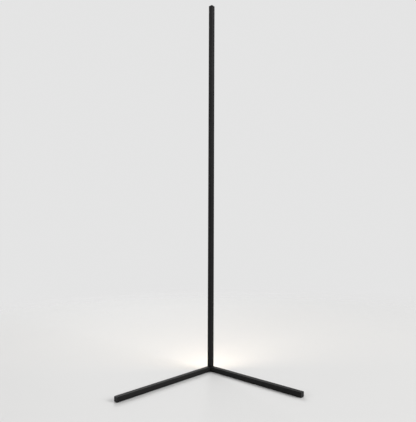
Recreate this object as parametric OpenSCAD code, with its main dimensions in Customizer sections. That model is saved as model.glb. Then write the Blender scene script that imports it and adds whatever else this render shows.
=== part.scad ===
// Corner floor lamp: a slim three-section corner-profile pole that sheds light to its rear through a diffuser,
// standing on two tube legs that lie on the floor at a right angle to each other.
//
// All sizes are in millimetres, with +Z up. The origin is on the floor, under the middle of the pole.
// -Y faces the viewer, and the light leaves towards +Y. The legs run to the front left and front right.

/* [Overall] */
// Height of the lamp from the floor to the top of its cap
lamp_height = 1400; // [900:10:1800]
// Reach of a leg from the middle of the pole to the leg's outer end
leg_reach = 400; // [250:5:600]

/* [Pole profile] */
// Side of the square that the pole's profile fills
profile_side = 16; // [15.5:0.1:17]
// Thickness of the two outer walls
profile_wall = 1.4; // [1.2:0.1:1.6]
// Depth from the inner web's back face to the foot of the ribs behind it
web_to_ribs = 0.56; // [0.3:0.01:1]
// Thickness of the inner web
web_wall = 1.2; // [1:0.1:1.4]
// Depth behind the front ridge of the flat land inside the ridge
ridge_land_depth = 3; // [2.6:0.1:3.2]
// Rounding of the profile's outer corners
profile_corner_r = 0.4; // [0.2:0.1:0.6]
// Thickness of the lip along each rear edge of the profile
lip_wall = 0.8; // [0.6:0.1:1]
// Height of the lip and of the rib beside it, from the outer face
lip_height = 2.6; // [2.4:0.1:3]
// Width of the groove between the lip and the rib
groove_width = 2; // [1.8:0.1:2.2]
// Thickness of the rib that closes the groove
rib_wall = 0.8; // [0.6:0.1:1]
// Reach of the rib's hook over the groove
hook_reach = 0.4; // [0.3:0.05:0.5]
// Thickness of the rib's hook
hook_thickness = 0.4; // [0.3:0.05:0.5]

/* [Diffuser] */
// Wall thickness of the opal diffuser
diffuser_wall = 1.3; // [1.1:0.1:1.4]

/* [Splices] */
// Length of the bar inside each joint between two pole sections
splice_length = 60; // [44:1:80]
// Distance of each pair's outer grub screw from the bar's end
splice_screw_inset = 7; // [5:0.5:9]
// Distance of each pair's inner grub screw from the joint
splice_screw_from_joint = 8; // [6:0.5:10]

/* [Fasteners] */
// Diameter of the grub screws and the leg screws
screw_d = 3; // [2.5:0.1:3.2]
// Length of a grub screw
grub_length = 4; // [3.5:0.1:4.4]
// Size across flats of the grub screws' hex sockets
grub_hex = 1.5; // [1.2:0.1:1.6]
// Head diameter of the countersunk leg screws
leg_screw_head_d = 5.8; // [5.4:0.1:6]
// Length of the countersunk leg screws
leg_screw_length = 8; // [6:0.5:9]
// Size across flats of the leg screws' hex sockets
leg_screw_hex = 2; // [1.5:0.1:2.2]
// Distance from the corner block's face to a leg's first screw
leg_screw_inset = 9; // [7:0.5:11]
// Distance between a leg's two screws
leg_screw_spacing = 13; // [9:0.5:14]
// Diameter of the rear cover's screw
cover_screw_d = 2.5; // [2:0.1:2.8]
// Head diameter of the rear cover's screw
cover_screw_head_d = 4.6; // [4:0.1:4.8]
// Head height of the rear cover's screw
cover_screw_head_h = 1.6; // [1.3:0.1:1.8]
// Length of the rear cover's screw under its head
cover_screw_length = 11; // [9.5:0.5:11.5]

/* [Legs and feet] */
// Side of the square leg tube, and of the corner block
leg_side = 16; // [15.5:0.1:17]
// Wall thickness of the leg tube
leg_wall = 1.5; // [1.2:0.1:2]
// Rounding along the leg tube's outer edges
leg_corner_r = 0.8; // [0.4:0.1:1.2]
// Length of the corner block's spigot inside each leg
leg_spigot_length = 30; // [28:1:45]
// Thickness of a leg end cap's outer plate
leg_cap_plate = 2; // [1.5:0.1:3]
// Length of a leg end cap's plug inside the tube
leg_cap_plug = 12; // [8:1:20]
// Wall thickness of the leg end cap's plug
leg_cap_wall = 1.6; // [1.2:0.1:2]
// Length of the corner block's upright key inside the pole
pole_key_length = 42; // [38:1:60]
// Height of the key's lower grub screw above the corner block
key_screw_height = 15; // [13:0.5:18]
// Diameter of a rubber foot pad
pad_d = 10; // [8:0.5:12]
// Thickness of a rubber foot pad
pad_thickness = 1.5; // [1:0.1:3]
// Chamfer round a foot pad's lower edge
pad_chamfer = 0.4; // [0.2:0.1:0.5]
// Distance from a leg's outer end to the middle of its foot pad
pad_from_end = 15; // [10:1:40]

/* [Top cap] */
// Thickness of the top cap's plate
top_cap_plate = 1.6; // [1.2:0.1:3]
// Length of the top cap's plug inside the pole
top_cap_plug = 12; // [8:1:20]

/* [Rear cover and socket] */
// Height of the rear cover
cover_height = 50; // [48:1:70]
// Wall thickness of the rear cover
cover_wall = 1.5; // [1.2:0.1:1.7]
// Height of the rear cover's screw above the corner block
cover_screw_height = 7; // [6:0.5:8]
// Outside diameter of the boss round the rear cover's screw
cover_boss_d = 7; // [6.6:0.1:7.4]
// Height of the socket above the corner block
socket_height = 20; // [17:0.5:22]
// Diameter of the socket's body inside the rear cover
socket_body_d = 8.4; // [8:0.1:8.6]
// Diameter of the socket's neck through the rear cover
socket_neck_d = 7; // [6.8:0.1:7.4]
// Reach of the socket's neck behind the rear cover's flat back
socket_neck_reach = 2.8; // [2.4:0.1:3.4]
// Diameter of the socket's bore
socket_bore_d = 5.6; // [5.5:0.05:5.8]
// Depth of the socket's bore
socket_bore_depth = 9.5; // [9:0.1:9.7]
// Thickness of the wall behind the socket's bore
socket_floor = 1; // [0.8:0.1:1]
// Diameter of the socket's centre pin
socket_pin_d = 2; // [1.8:0.1:2.1]
// Distance of the centre pin's tip below the socket's mouth
socket_pin_recess = 0.8; // [0.5:0.1:1.5]
// Size across flats of the socket's nut
socket_nut_hex = 8.8; // [8.6:0.1:9.2]
// Thickness of the socket's nut
socket_nut_thickness = 1.8; // [1.4:0.1:2.2]

/* [Electrics] */
// Width of the LED tape
tape_width = 8; // [6:0.5:9]
// Thickness of the LED tape with its adhesive
tape_thickness = 0.3; // [0.2:0.05:0.5]
// Height of the LED tape's lower end above the corner block
tape_start = 34; // [31:0.5:36]
// Distance from one LED chip to the next
led_pitch = 16.6; // [12:0.1:33]
// Length of an LED chip along the tape
led_length = 3.5; // [2.8:0.1:5]
// Width of an LED chip across the tape
led_width = 2.8; // [2:0.1:3.5]
// Thickness of an LED chip
led_thickness = 0.8; // [0.5:0.1:1.2]
// Length of a resistor along the tape
resistor_length = 2; // [1.6:0.1:3.2]
// Width of a resistor across the tape
resistor_width = 1.25; // [0.8:0.05:1.6]
// Thickness of a resistor
resistor_thickness = 0.5; // [0.4:0.05:0.7]
// Diameter of the two insulated leads
lead_d = 1.3; // [1:0.1:1.5]
// Width of the solder tags
tag_width = 2.4; // [2:0.1:3]
// Thickness of the solder tags
tag_thickness = 0.4; // [0.3:0.05:0.5]
// Reach of the solder tags above the socket's body
tag_reach = 5; // [4:0.5:6]

/* [Clearances] */
// Gap between pieces that slide into each other
slide_gap = 0.1; // [0.05:0.01:0.15]
// Gap round a fastener in its hole
hole_gap = 0.05; // [0.03:0.01:0.1]
// Gap round a fastener that passes freely through a wall
free_gap = 0.2; // [0.1:0.05:0.3]
// Gap between the inner web and the socket's rear solder tag
tag_gap = 0.3; // [0.2:0.05:0.5]
// Length by which a cutting shape runs past the surface that it opens
overrun = 1; // [0.5:0.1:1.5]

/* [Hidden] */

$fn = 48;
root_two = sqrt(2);

// A number of pole sections, one on top of the other
section_count = 3;
// LED chips that share one resistor
leds_per_resistor = 3;
// Directions of the two legs, as turns about +Z
left_turn = 225;
right_turn = 315;

// Height levels
block_top = pad_thickness + leg_side;
pole_top = lamp_height - top_cap_plate;
section_length = (pole_top - block_top) / section_count;
cover_top = block_top + cover_height;
diffuser_bottom = cover_top + slide_gap;
diffuser_top = pole_top - slide_gap;
diffuser_length = diffuser_top - diffuser_bottom;
tape_bottom = block_top + tape_start;
tape_top = pole_top - top_cap_plug - tape_thickness;
tape_length = tape_top - tape_bottom;
socket_z = block_top + socket_height;
cover_screw_z = block_top + cover_screw_height;

// Depths behind the front ridge
ridge_y = -profile_side / root_two;
rib_start = profile_side - lip_wall - groove_width - rib_wall;
web_back = (rib_start + profile_wall) / root_two - web_to_ribs;
web_depth = web_back - web_wall;
tape_face = web_back + tape_thickness;
led_face = tape_face + led_thickness;
socket_rear = web_back + tag_gap + tag_thickness;
socket_bore_floor = socket_rear + socket_floor;
socket_mouth = socket_bore_floor + socket_bore_depth;
cover_flat_depth = socket_mouth - socket_neck_reach;
cover_inner_flat = cover_flat_depth - cover_wall;
grub_top_depth = ridge_land_depth + grub_length;
cover_screw_seat = cover_flat_depth - cover_screw_head_h - free_gap;

// The diffuser's section: a quarter ring on two straight feet
diffuser_outer = profile_side - lip_wall - slide_gap;
diffuser_inner = diffuser_outer - diffuser_wall;
foot_bottom = profile_wall + slide_gap;
foot_neck_inner = rib_start + rib_wall + hook_reach + free_gap;
foot_bulb_inner = rib_start + rib_wall + slide_gap;
foot_bulb_thickness = lip_height - hook_thickness - foot_bottom - slide_gap;
dome_start = lip_height + free_gap;

// LED chips stand in whole groups, centred between the rear cover and the top cap
lit_length = diffuser_top - top_cap_plug - diffuser_bottom - led_length;
led_count = floor(lit_length / led_pitch / leds_per_resistor) * leds_per_resistor;
led_run = (led_count - 1) * led_pitch;
first_led_z = diffuser_bottom + (diffuser_top - top_cap_plug - diffuser_bottom - led_run) / 2;

// Heights of all grub screws
joint_heights = [for (i = [1 : section_count - 1]) block_top + i * section_length];
splice_screw_offsets = [
    -(splice_length / 2 - splice_screw_inset), -splice_screw_from_joint,
    splice_screw_from_joint, splice_length / 2 - splice_screw_inset
];
key_screw_heights = [block_top + key_screw_height, block_top + pole_key_length - splice_screw_inset];

// Distances of the leg screws from the middle of the pole
leg_screw_places = [
    leg_side / 2 + leg_screw_inset,
    leg_side / 2 + leg_screw_inset + leg_screw_spacing
];

// Colours
coat_black = [0.035, 0.035, 0.038];
moulded_black = [0.05, 0.05, 0.052];
rubber_black = [0.03, 0.03, 0.03];
zinc_grey = [0.62, 0.63, 0.65];
screw_black = [0.09, 0.09, 0.1];
opal_white = [0.98, 0.93, 0.82];
board_white = [0.93, 0.93, 0.9];
phosphor_yellow = [0.96, 0.8, 0.35];
brass_gold = [0.8, 0.64, 0.32];
nickel_silver = [0.75, 0.74, 0.7];
lead_red = [0.6, 0.05, 0.04];
lead_black = [0.06, 0.06, 0.06];

// ---- Frames ----

// Puts a flat shape with its x across the pole and its y as depth behind the front ridge
module behind_ridge() {
    translate([0, ridge_y]) children();
}

// Puts a flat shape with its x and y along the profile's two outer flats, from the front ridge
module along_flats() {
    behind_ridge() rotate(45) children();
}

// Draws a shape twice, once on each flat, when it is given in the frame of the two flats
module on_both_flats() {
    children();
    mirror([1, -1]) children();
}

// Puts a solid at a depth behind the ridge and a height, with its own +Z pointing to the rear
module facing_rear(depth, height) {
    translate([0, ridge_y + depth, height]) rotate([-90, 0, 0]) children();
}

// Puts a solid in a leg's frame, with x along the leg from the middle of the pole
module in_leg(turn) {
    rotate([0, 0, turn]) translate([0, 0, pad_thickness + leg_side / 2]) children();
}

// ---- Shared shapes ----

// A corner of a flat shape to be cut off, which leaves a rounding of radius r at the origin
module corner_cut(r) {
    difference() {
        translate([-r, -r]) square(2 * r);
        translate([r, r]) circle(r);
    }
}

// A square with rounded corners, centred on the origin
module rounded_square(side, r) {
    difference() {
        square(side, center = true);
        for (turn = [0, 90, 180, 270]) {
            rotate(turn) translate([-side / 2, -side / 2]) corner_cut(r);
        }
    }
}

// A prism with six flats, lying across flats of the given size
module hex_prism(across_flats, height) {
    cylinder(h = height, d = across_flats / cos(30), $fn = 6);
}

// Half the clear width between the profile's outer walls at a depth behind the ridge
function clear_half(depth) = depth - profile_wall * root_two;

// The section of a key or splice bar that fills the chamber between the ridge and the web
module key_section() {
    front = ridge_land_depth + slide_gap;
    side_gap = slide_gap * root_two;
    behind_ridge() polygon([
        [-clear_half(front) + side_gap, front],
        [clear_half(front) - side_gap, front],
        [clear_half(web_depth) - side_gap, web_depth],
        [-clear_half(web_depth) + side_gap, web_depth]
    ]);
}

// A grub screw with its chamfered point on the ridge's inner land, at a height
module grub_screw(height) {
    point_r = clear_half(ridge_land_depth) - slide_gap;
    point_length = screw_d / 2 - point_r;
    facing_rear(ridge_land_depth, height) difference() {
        union() {
            cylinder(h = point_length, r1 = point_r, r2 = screw_d / 2);
            translate([0, 0, point_length]) cylinder(h = grub_length - point_length, d = screw_d);
        }
        translate([0, 0, grub_length - grub_hex]) hex_prism(grub_hex, grub_hex + overrun);
    }
}

// The threaded hole for a grub screw through a key or splice bar
module grub_hole(height) {
    facing_rear(ridge_land_depth - overrun, height) {
        cylinder(h = web_depth - ridge_land_depth + 2 * overrun, d = screw_d + 2 * hole_gap);
    }
}

// ---- Pole ----

// One outer flat of the profile with its lip, rib and hook, in the frame of the two flats
module profile_flat() {
    square([profile_side, profile_wall]);
    translate([profile_side - lip_wall, 0]) square([lip_wall, lip_height]);
    translate([rib_start, 0]) square([rib_wall, lip_height]);
    translate([rib_start, lip_height - hook_thickness]) square([rib_wall + hook_reach, hook_thickness]);
}

// The full section of the pole's profile
module profile_section() {
    wall_middle = profile_wall / root_two;
    difference() {
        union() {
            along_flats() on_both_flats() profile_flat();
            behind_ridge() polygon([
                [-(web_depth - wall_middle), web_depth],
                [web_depth - wall_middle, web_depth],
                [web_back - wall_middle, web_back],
                [-(web_back - wall_middle), web_back]
            ]);
            behind_ridge() polygon([
                [0, wall_middle],
                [ridge_land_depth - wall_middle, ridge_land_depth],
                [-(ridge_land_depth - wall_middle), ridge_land_depth]
            ]);
        }
        along_flats() corner_cut(profile_corner_r);
        along_flats() on_both_flats() {
            translate([profile_side, 0]) rotate(90) corner_cut(profile_corner_r);
        }
    }
}

// Heights of every grub screw on one section of the pole
function section_screw_heights(index) = concat(
    index == 0 ? key_screw_heights : [],
    [for (j = joint_heights) for (offset = splice_screw_offsets) j + offset]
);

// The free hole through the web for a fastener of a diameter, at a height
module web_hole(height, fastener_d) {
    facing_rear(web_depth - overrun, height) {
        cylinder(h = web_wall + 2 * overrun, d = fastener_d + 2 * free_gap);
    }
}

// One section of the pole, counted from 0 at the bottom, with the holes that reach its grub screws
module pole_section(index) {
    bottom = block_top + index * section_length;
    color(coat_black) difference() {
        translate([0, 0, bottom]) linear_extrude(section_length) profile_section();
        for (height = section_screw_heights(index)) {
            if (height > bottom && height < bottom + section_length) {
                web_hole(height, screw_d);
            }
        }
        if (index == 0) {
            web_hole(cover_screw_z, cover_screw_d);
        }
    }
}

module pole_lower() {
    pole_section(0);
}

module pole_middle() {
    pole_section(1);
}

module pole_upper() {
    pole_section(2);
}

// A steel bar that bridges one joint of the pole
module splice_bar(joint) {
    color(zinc_grey) difference() {
        translate([0, 0, joint - splice_length / 2]) linear_extrude(splice_length) key_section();
        for (offset = splice_screw_offsets) grub_hole(joint + offset);
    }
}

module splice_lower() {
    splice_bar(joint_heights[0]);
}

module splice_upper() {
    splice_bar(joint_heights[1]);
}

module splice_screws() {
    color(screw_black) {
        for (joint = joint_heights) {
            for (offset = splice_screw_offsets) grub_screw(joint + offset);
        }
    }
}

module key_screws() {
    color(screw_black) {
        for (height = key_screw_heights) grub_screw(height);
    }
}

// The outline of the pole with its diffuser, as the top cap covers it
module pole_outline() {
    dome_r = profile_side - dome_start;
    along_flats() difference() {
        union() {
            on_both_flats() square([profile_side, dome_start]);
            translate([dome_start, dome_start]) intersection() {
                circle(dome_r);
                square(dome_r);
            }
        }
        corner_cut(profile_corner_r);
        on_both_flats() {
            translate([profile_side, 0]) rotate(90) corner_cut(profile_corner_r);
        }
    }
}

module top_cap() {
    color(moulded_black) {
        translate([0, 0, pole_top]) linear_extrude(top_cap_plate) pole_outline();
        translate([0, 0, pole_top - top_cap_plug]) linear_extrude(top_cap_plug) {
            difference() {
                key_section();
                behind_ridge() translate([0, web_depth]) circle(d = web_depth - ridge_land_depth);
            }
        }
    }
}

// ---- Light ----

// One foot of a snap-in moulding, in the frame of the two flats, up to a height from the outer face
module snap_foot(top) {
    translate([foot_neck_inner, foot_bottom]) square([diffuser_outer - foot_neck_inner, top - foot_bottom]);
    translate([foot_bulb_inner, foot_bottom]) square([diffuser_outer - foot_bulb_inner, foot_bulb_thickness]);
}

module diffuser_section() {
    outer_r = diffuser_outer - dome_start;
    inner_r = diffuser_inner - dome_start;
    along_flats() {
        on_both_flats() snap_foot(dome_start);
        translate([dome_start, dome_start]) intersection() {
            difference() {
                circle(outer_r);
                circle(inner_r);
            }
            square(outer_r + overrun);
        }
    }
}

module diffuser() {
    color(opal_white) translate([0, 0, diffuser_bottom]) linear_extrude(diffuser_length) diffuser_section();
}

// A flat box that lies on the web, centred across it
module on_tape(width, length, from_depth, thickness, height, offset = 0) {
    translate([offset - width / 2, ridge_y + from_depth, height - length / 2]) {
        cube([width, thickness, length]);
    }
}

module led_tape() {
    color(board_white) {
        on_tape(tape_width, tape_length, web_back, tape_thickness, tape_bottom + tape_length / 2);
    }
}

module led_chips() {
    color(phosphor_yellow) {
        for (i = [0 : led_count - 1]) {
            on_tape(led_width, led_length, tape_face, led_thickness, first_led_z + i * led_pitch);
        }
    }
}

module led_resistors() {
    color(screw_black) {
        for (i = [0 : leds_per_resistor : led_count - leds_per_resistor]) {
            height = first_led_z + (i + 0.5) * led_pitch;
            on_tape(resistor_width, resistor_length, tape_face, resistor_thickness, height, tape_width / 4);
        }
    }
}

// ---- Rear cover and socket ----

// The rear cover's outer outline without its feet, in the frame of the two flats, drawn in by an inset
module cover_outline(inset) {
    side = profile_side - inset;
    start = lip_height + slide_gap;
    flat_edge = (cover_flat_depth - inset) * root_two - side;
    polygon([[start, 0], [side, 0], [side, flat_edge], [flat_edge, side], [0, side], [0, start]]);
}

// What the rear cover leaves free for the lips, the ribs and the tape
module cover_clearance() {
    on_both_flats() translate([-overrun, -overrun]) {
        square([profile_side + 2 * overrun, lip_height + slide_gap + overrun]);
    }
}

module rear_cover_shell() {
    foot_overlap = lip_height + slide_gap + cover_wall / 2;
    shell_height = cover_height - slide_gap;
    translate([0, 0, block_top + slide_gap]) {
        linear_extrude(shell_height) along_flats() {
            difference() {
                cover_outline(0);
                cover_outline(cover_wall);
                cover_clearance();
            }
            on_both_flats() snap_foot(foot_overlap);
        }
        translate([0, 0, shell_height - cover_wall]) linear_extrude(cover_wall) difference() {
            along_flats() difference() {
                cover_outline(cover_wall / 2);
                cover_clearance();
            }
            behind_ridge() translate([-profile_side, 0]) {
                square([2 * profile_side, led_face]);
            }
        }
    }
}

module rear_cover() {
    color(moulded_black) difference() {
        union() {
            rear_cover_shell();
            facing_rear(web_back + slide_gap, cover_screw_z) {
                cylinder(h = cover_inner_flat + cover_wall / 2 - web_back - slide_gap, d = cover_boss_d);
            }
        }
        facing_rear(web_depth, cover_screw_z) cylinder(h = profile_side, d = cover_screw_d + 2 * free_gap);
        facing_rear(cover_screw_seat, cover_screw_z) {
            cylinder(h = profile_side, d = cover_screw_head_d + 2 * free_gap);
        }
        facing_rear(socket_rear, socket_z) {
            cylinder(h = profile_side, d = socket_neck_d + 2 * slide_gap);
            cylinder(h = cover_inner_flat - socket_rear, d = socket_body_d + 2 * slide_gap);
        }
    }
}

module rear_cover_screw() {
    color(screw_black) difference() {
        union() {
            facing_rear(cover_screw_seat, cover_screw_z) {
                cylinder(h = cover_screw_head_h, d = cover_screw_head_d);
            }
            facing_rear(cover_screw_seat - cover_screw_length, cover_screw_z) {
                cylinder(h = cover_screw_length, d = cover_screw_d);
            }
        }
        facing_rear(cover_screw_seat + cover_screw_head_h / 3, cover_screw_z) {
            hex_prism(grub_hex, cover_screw_head_h);
        }
    }
}

module socket_body() {
    color(moulded_black) difference() {
        union() {
            facing_rear(socket_rear, socket_z) {
                cylinder(h = cover_inner_flat - socket_rear, d = socket_body_d);
                cylinder(h = socket_mouth - socket_rear, d = socket_neck_d);
            }
        }
        facing_rear(socket_bore_floor, socket_z) {
            cylinder(h = socket_bore_depth + overrun, d = socket_bore_d);
        }
        facing_rear(socket_rear - overrun, socket_z) {
            cylinder(h = socket_floor + 2 * overrun, d = socket_pin_d + 2 * hole_gap);
        }
        negative_tag_box(hole_gap);
    }
}

module socket_pin() {
    color(brass_gold) facing_rear(socket_rear, socket_z) {
        cylinder(h = socket_mouth - socket_pin_recess - socket_rear, d = socket_pin_d);
    }
}

module socket_nut() {
    color(nickel_silver) facing_rear(cover_flat_depth, socket_z) difference() {
        rotate(30) hex_prism(socket_nut_hex, socket_nut_thickness);
        translate([0, 0, -overrun]) {
            cylinder(h = socket_nut_thickness + 2 * overrun, d = socket_neck_d + 2 * hole_gap);
        }
    }
}

// Depth of the negative tag's front face behind the ridge
negative_tag_depth = (socket_bore_floor + cover_inner_flat) / 2;
tag_top = socket_z + socket_body_d / 2 + tag_reach;

// The strip that reaches from the socket's bore up out of its body, grown by a gap on its sides
module negative_tag_box(gap) {
    foot = socket_z + socket_bore_d / 2 + hole_gap;
    translate([-tag_width / 2 - gap, ridge_y + negative_tag_depth - gap, foot]) {
        cube([tag_width + 2 * gap, tag_thickness + 2 * gap, tag_top - foot]);
    }
}

module socket_tag_negative() {
    color(nickel_silver) negative_tag_box(0);
}

module socket_tag_positive() {
    color(nickel_silver) {
        translate([-tag_width / 2, ridge_y + socket_rear - tag_thickness, socket_z - tag_width / 2]) {
            cube([tag_width, tag_thickness, tag_top - socket_z + tag_width / 2]);
        }
    }
}

// ---- Leads ----

// A point on a smooth curve that leaves and arrives upright, at a share of the way
function lead_point(start, finish, share) = [
    start[0] + (finish[0] - start[0]) * ease(share),
    start[1] + (finish[1] - start[1]) * ease(share),
    start[2] + (finish[2] - start[2]) * share
];
function ease(share) = share * share * (3 - 2 * share);

// A round lead that rises between two points, level at each ring
module lead(start, finish) {
    rings = 10;
    sides = 10;
    points = [
        for (i = [0 : rings]) let (middle = lead_point(start, finish, i / rings))
            for (s = [0 : sides - 1]) [
                middle[0] + lead_d / 2 * cos(s * 360 / sides),
                middle[1] + lead_d / 2 * sin(s * 360 / sides),
                middle[2]
            ]
    ];
    walls = [
        for (i = [0 : rings - 1]) for (s = [0 : sides - 1]) let (
            a = i * sides + s,
            b = i * sides + (s + 1) % sides
        ) each [[a, a + sides, b], [b, a + sides, b + sides]]
    ];
    bottom = [for (s = [0 : sides - 1]) s];
    top = [for (s = [sides - 1 : -1 : 0]) rings * sides + s];
    polyhedron(points, concat(walls, [bottom, top]));
}

lead_start_z = socket_z + socket_body_d / 2 + slide_gap;
lead_finish_z = tape_bottom + tag_reach;

module lead_positive() {
    color(lead_red) lead(
        [0, ridge_y + socket_rear + lead_d / 2 + slide_gap, lead_start_z],
        [-tape_width / 4, ridge_y + tape_face + lead_d / 2 + slide_gap, lead_finish_z]
    );
}

module lead_negative() {
    color(lead_black) lead(
        [0, ridge_y + negative_tag_depth - lead_d / 2 - slide_gap, lead_start_z],
        [tape_width / 4, ridge_y + tape_face + lead_d / 2 + slide_gap, lead_finish_z]
    );
}

// ---- Base ----

// A spigot that fills one leg tube, in the leg's frame
module leg_spigot() {
    size = leg_side - 2 * leg_wall - 2 * slide_gap;
    translate([0, -size / 2, -size / 2]) cube([leg_side / 2 + leg_spigot_length, size, size]);
}

// The space that one countersunk leg screw takes, grown by a gap, in the leg's frame
module leg_screw_shape(place, gap) {
    translate([place, 0, -leg_side / 2]) {
        head_r = leg_screw_head_d / 2;
        head_height = head_r - screw_d / 2;
        cylinder(h = head_height, r1 = head_r + gap, r2 = screw_d / 2 + gap);
        cylinder(h = leg_screw_length + gap, d = screw_d + 2 * gap);
    }
}

module corner_block() {
    color(coat_black) difference() {
        union() {
            translate([0, 0, pad_thickness]) linear_extrude(leg_side) difference() {
                rotate(45) square(leg_side, center = true);
                behind_ridge() translate([-leg_side, cover_flat_depth]) square(2 * leg_side);
            }
            for (turn = [left_turn, right_turn]) in_leg(turn) leg_spigot();
            translate([0, 0, block_top - overrun]) linear_extrude(pole_key_length + overrun) key_section();
        }
        for (turn = [left_turn, right_turn]) {
            for (place = leg_screw_places) in_leg(turn) leg_screw_shape(place, hole_gap);
        }
        for (height = key_screw_heights) grub_hole(height);
        facing_rear(cover_screw_seat - cover_screw_length - overrun, cover_screw_z) {
            cylinder(h = profile_side, d = cover_screw_d + 2 * hole_gap);
        }
    }
}

// One leg tube, open at both ends, with the countersunk holes of its two screws
module leg_tube(turn) {
    length = leg_reach - leg_cap_plate - leg_side / 2;
    color(coat_black) difference() {
        in_leg(turn) translate([leg_side / 2, 0, 0]) rotate([90, 0, 90]) linear_extrude(length) difference() {
            rounded_square(leg_side, leg_corner_r);
            square(leg_side - 2 * leg_wall, center = true);
        }
        for (place = leg_screw_places) in_leg(turn) leg_screw_shape(place, hole_gap);
    }
}

module leg_left() {
    leg_tube(left_turn);
}

module leg_right() {
    leg_tube(right_turn);
}

// One end cap: a plate the size of the tube and a hollow plug inside it
module leg_cap(turn) {
    plug = leg_side - 2 * leg_wall - 2 * slide_gap;
    color(moulded_black) in_leg(turn) translate([leg_reach - leg_cap_plate, 0, 0]) rotate([90, 0, 90]) {
        linear_extrude(leg_cap_plate) rounded_square(leg_side, leg_corner_r);
        translate([0, 0, -leg_cap_plug]) linear_extrude(leg_cap_plug) difference() {
            square(plug, center = true);
            square(plug - 2 * leg_cap_wall, center = true);
        }
    }
}

module leg_cap_left() {
    leg_cap(left_turn);
}

module leg_cap_right() {
    leg_cap(right_turn);
}

module leg_screws() {
    color(screw_black) {
        for (turn = [left_turn, right_turn]) {
            for (place = leg_screw_places) in_leg(turn) difference() {
                leg_screw_shape(place, 0);
                translate([place, 0, -leg_side / 2 - overrun]) {
                    hex_prism(leg_screw_hex, leg_screw_hex / 2 + overrun);
                }
            }
        }
    }
}

// A round rubber pad with a chamfered lower edge, standing on the floor
module foot_pad() {
    color(rubber_black) {
        cylinder(h = pad_chamfer, d1 = pad_d - 2 * pad_chamfer, d2 = pad_d);
        translate([0, 0, pad_chamfer]) cylinder(h = pad_thickness - pad_chamfer, d = pad_d);
    }
}

module foot_pad_corner() {
    foot_pad();
}

module foot_pad_left() {
    rotate([0, 0, left_turn]) translate([leg_reach - pad_from_end, 0, 0]) foot_pad();
}

module foot_pad_right() {
    rotate([0, 0, right_turn]) translate([leg_reach - pad_from_end, 0, 0]) foot_pad();
}

corner_block();
leg_left();
leg_right();
leg_cap_left();
leg_cap_right();
leg_screws();
foot_pad_corner();
foot_pad_left();
foot_pad_right();
pole_lower();
pole_middle();
pole_upper();
splice_lower();
splice_upper();
splice_screws();
key_screws();
top_cap();
diffuser();
led_tape();
led_chips();
led_resistors();
rear_cover();
rear_cover_screw();
socket_body();
socket_pin();
socket_nut();
socket_tag_positive();
socket_tag_negative();
lead_positive();
lead_negative();
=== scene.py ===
"""Dresses the corner floor lamp and shows it in a plain studio.

Every length is in metres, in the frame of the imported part: +Z is up, the viewer stands at -Y, and the light
leaves towards +Y. Each sub-assembly is a class that holds its sizes, builds its meshes and dresses them.
"""

import logging
import math
from abc import ABC, abstractmethod
from collections.abc import Iterable, Sequence
from dataclasses import dataclass
from enum import Enum

import bmesh
import bpy
from mathutils import Matrix, Vector


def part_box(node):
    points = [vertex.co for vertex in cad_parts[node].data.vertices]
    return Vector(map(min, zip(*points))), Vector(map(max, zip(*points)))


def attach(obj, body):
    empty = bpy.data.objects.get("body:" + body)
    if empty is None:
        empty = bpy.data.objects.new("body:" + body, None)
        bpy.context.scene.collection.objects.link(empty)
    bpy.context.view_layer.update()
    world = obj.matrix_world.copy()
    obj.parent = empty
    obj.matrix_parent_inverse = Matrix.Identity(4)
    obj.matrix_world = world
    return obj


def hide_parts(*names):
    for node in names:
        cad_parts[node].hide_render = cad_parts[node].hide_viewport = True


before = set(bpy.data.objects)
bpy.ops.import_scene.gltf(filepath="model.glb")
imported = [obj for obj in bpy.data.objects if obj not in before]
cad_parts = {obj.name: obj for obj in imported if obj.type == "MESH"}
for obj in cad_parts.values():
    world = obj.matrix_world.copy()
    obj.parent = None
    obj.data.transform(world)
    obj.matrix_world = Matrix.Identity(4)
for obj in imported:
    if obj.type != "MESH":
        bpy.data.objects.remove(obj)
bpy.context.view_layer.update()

log = logging.getLogger("corner_lamp")

Point = tuple[float, float]
Triple = tuple[float, float, float]
Colour = Triple
Ring = list[Vector]
Piece = bpy.types.Object
Tree = bpy.types.NodeTree
Output = bpy.types.NodeSocket
# What a node's input takes: another node's output, or a constant.
Feed = Output | float | Sequence[float]

MM = 0.001
MICRON = 1e-6
BODY = "root"
# The pole's profile and the leg tubes fill squares of this side.
SQUARE_SIDE = 16 * MM
# The pole's front ridge lies at this Y.
RIDGE_Y = -SQUARE_SIDE / math.sqrt(2)
# The round rear of diffuser and top cap has its centre this far from the two outer flats.
DOME_START = 2.8 * MM
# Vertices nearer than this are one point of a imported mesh.
WELD_DISTANCE = 2 * MICRON


class Side(Enum):
    """The two legs, each with its direction as a turn about +Z in degrees."""

    LEFT = 225
    RIGHT = 315

    @property
    def word(self) -> str:
        """The side's name as it stands in the names of pieces."""
        return self.name.lower()


class Texture(Enum):
    """The kinds of fine relief that a surface can have, named after their node groups."""

    CLOUDY = "Cloudy grain"
    PITTED = "Pitted grain"


class Overlay(Enum):
    """What can lie over a finish's own colour, named after its node group."""

    EDGE_WEAR = "Edge wear"
    # Dust on faces that look up, which also lightens them as a painted highlight.
    DUST_AND_TOP_HIGHLIGHT = "Dust and painted top highlight"


class HeadStyle(Enum):
    """The shapes of screw heads."""

    GRUB = "grub"
    COUNTERSUNK = "countersunk"
    CYLINDER = "cylinder"


@dataclass(frozen=True)
class Box:
    """A box in the frame.

    Attributes:
        low: its lowest corner.
        high: its highest corner.
    """

    low: Vector
    high: Vector

    @classmethod
    def of(cls, node: str) -> "Box":
        """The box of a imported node."""
        return cls(*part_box(node))

    @property
    def centre(self) -> Vector:
        """The middle of the box."""
        return (self.low + self.high) / 2

    @property
    def size(self) -> Vector:
        """The three sides of the box."""
        return self.high - self.low

    @property
    def from_front(self) -> Matrix:
        """A place in the middle of the box's front face, whose own +Z points to the rear of the lamp."""
        return to_rear(self.centre.x, self.low.y, self.centre.z)


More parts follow.
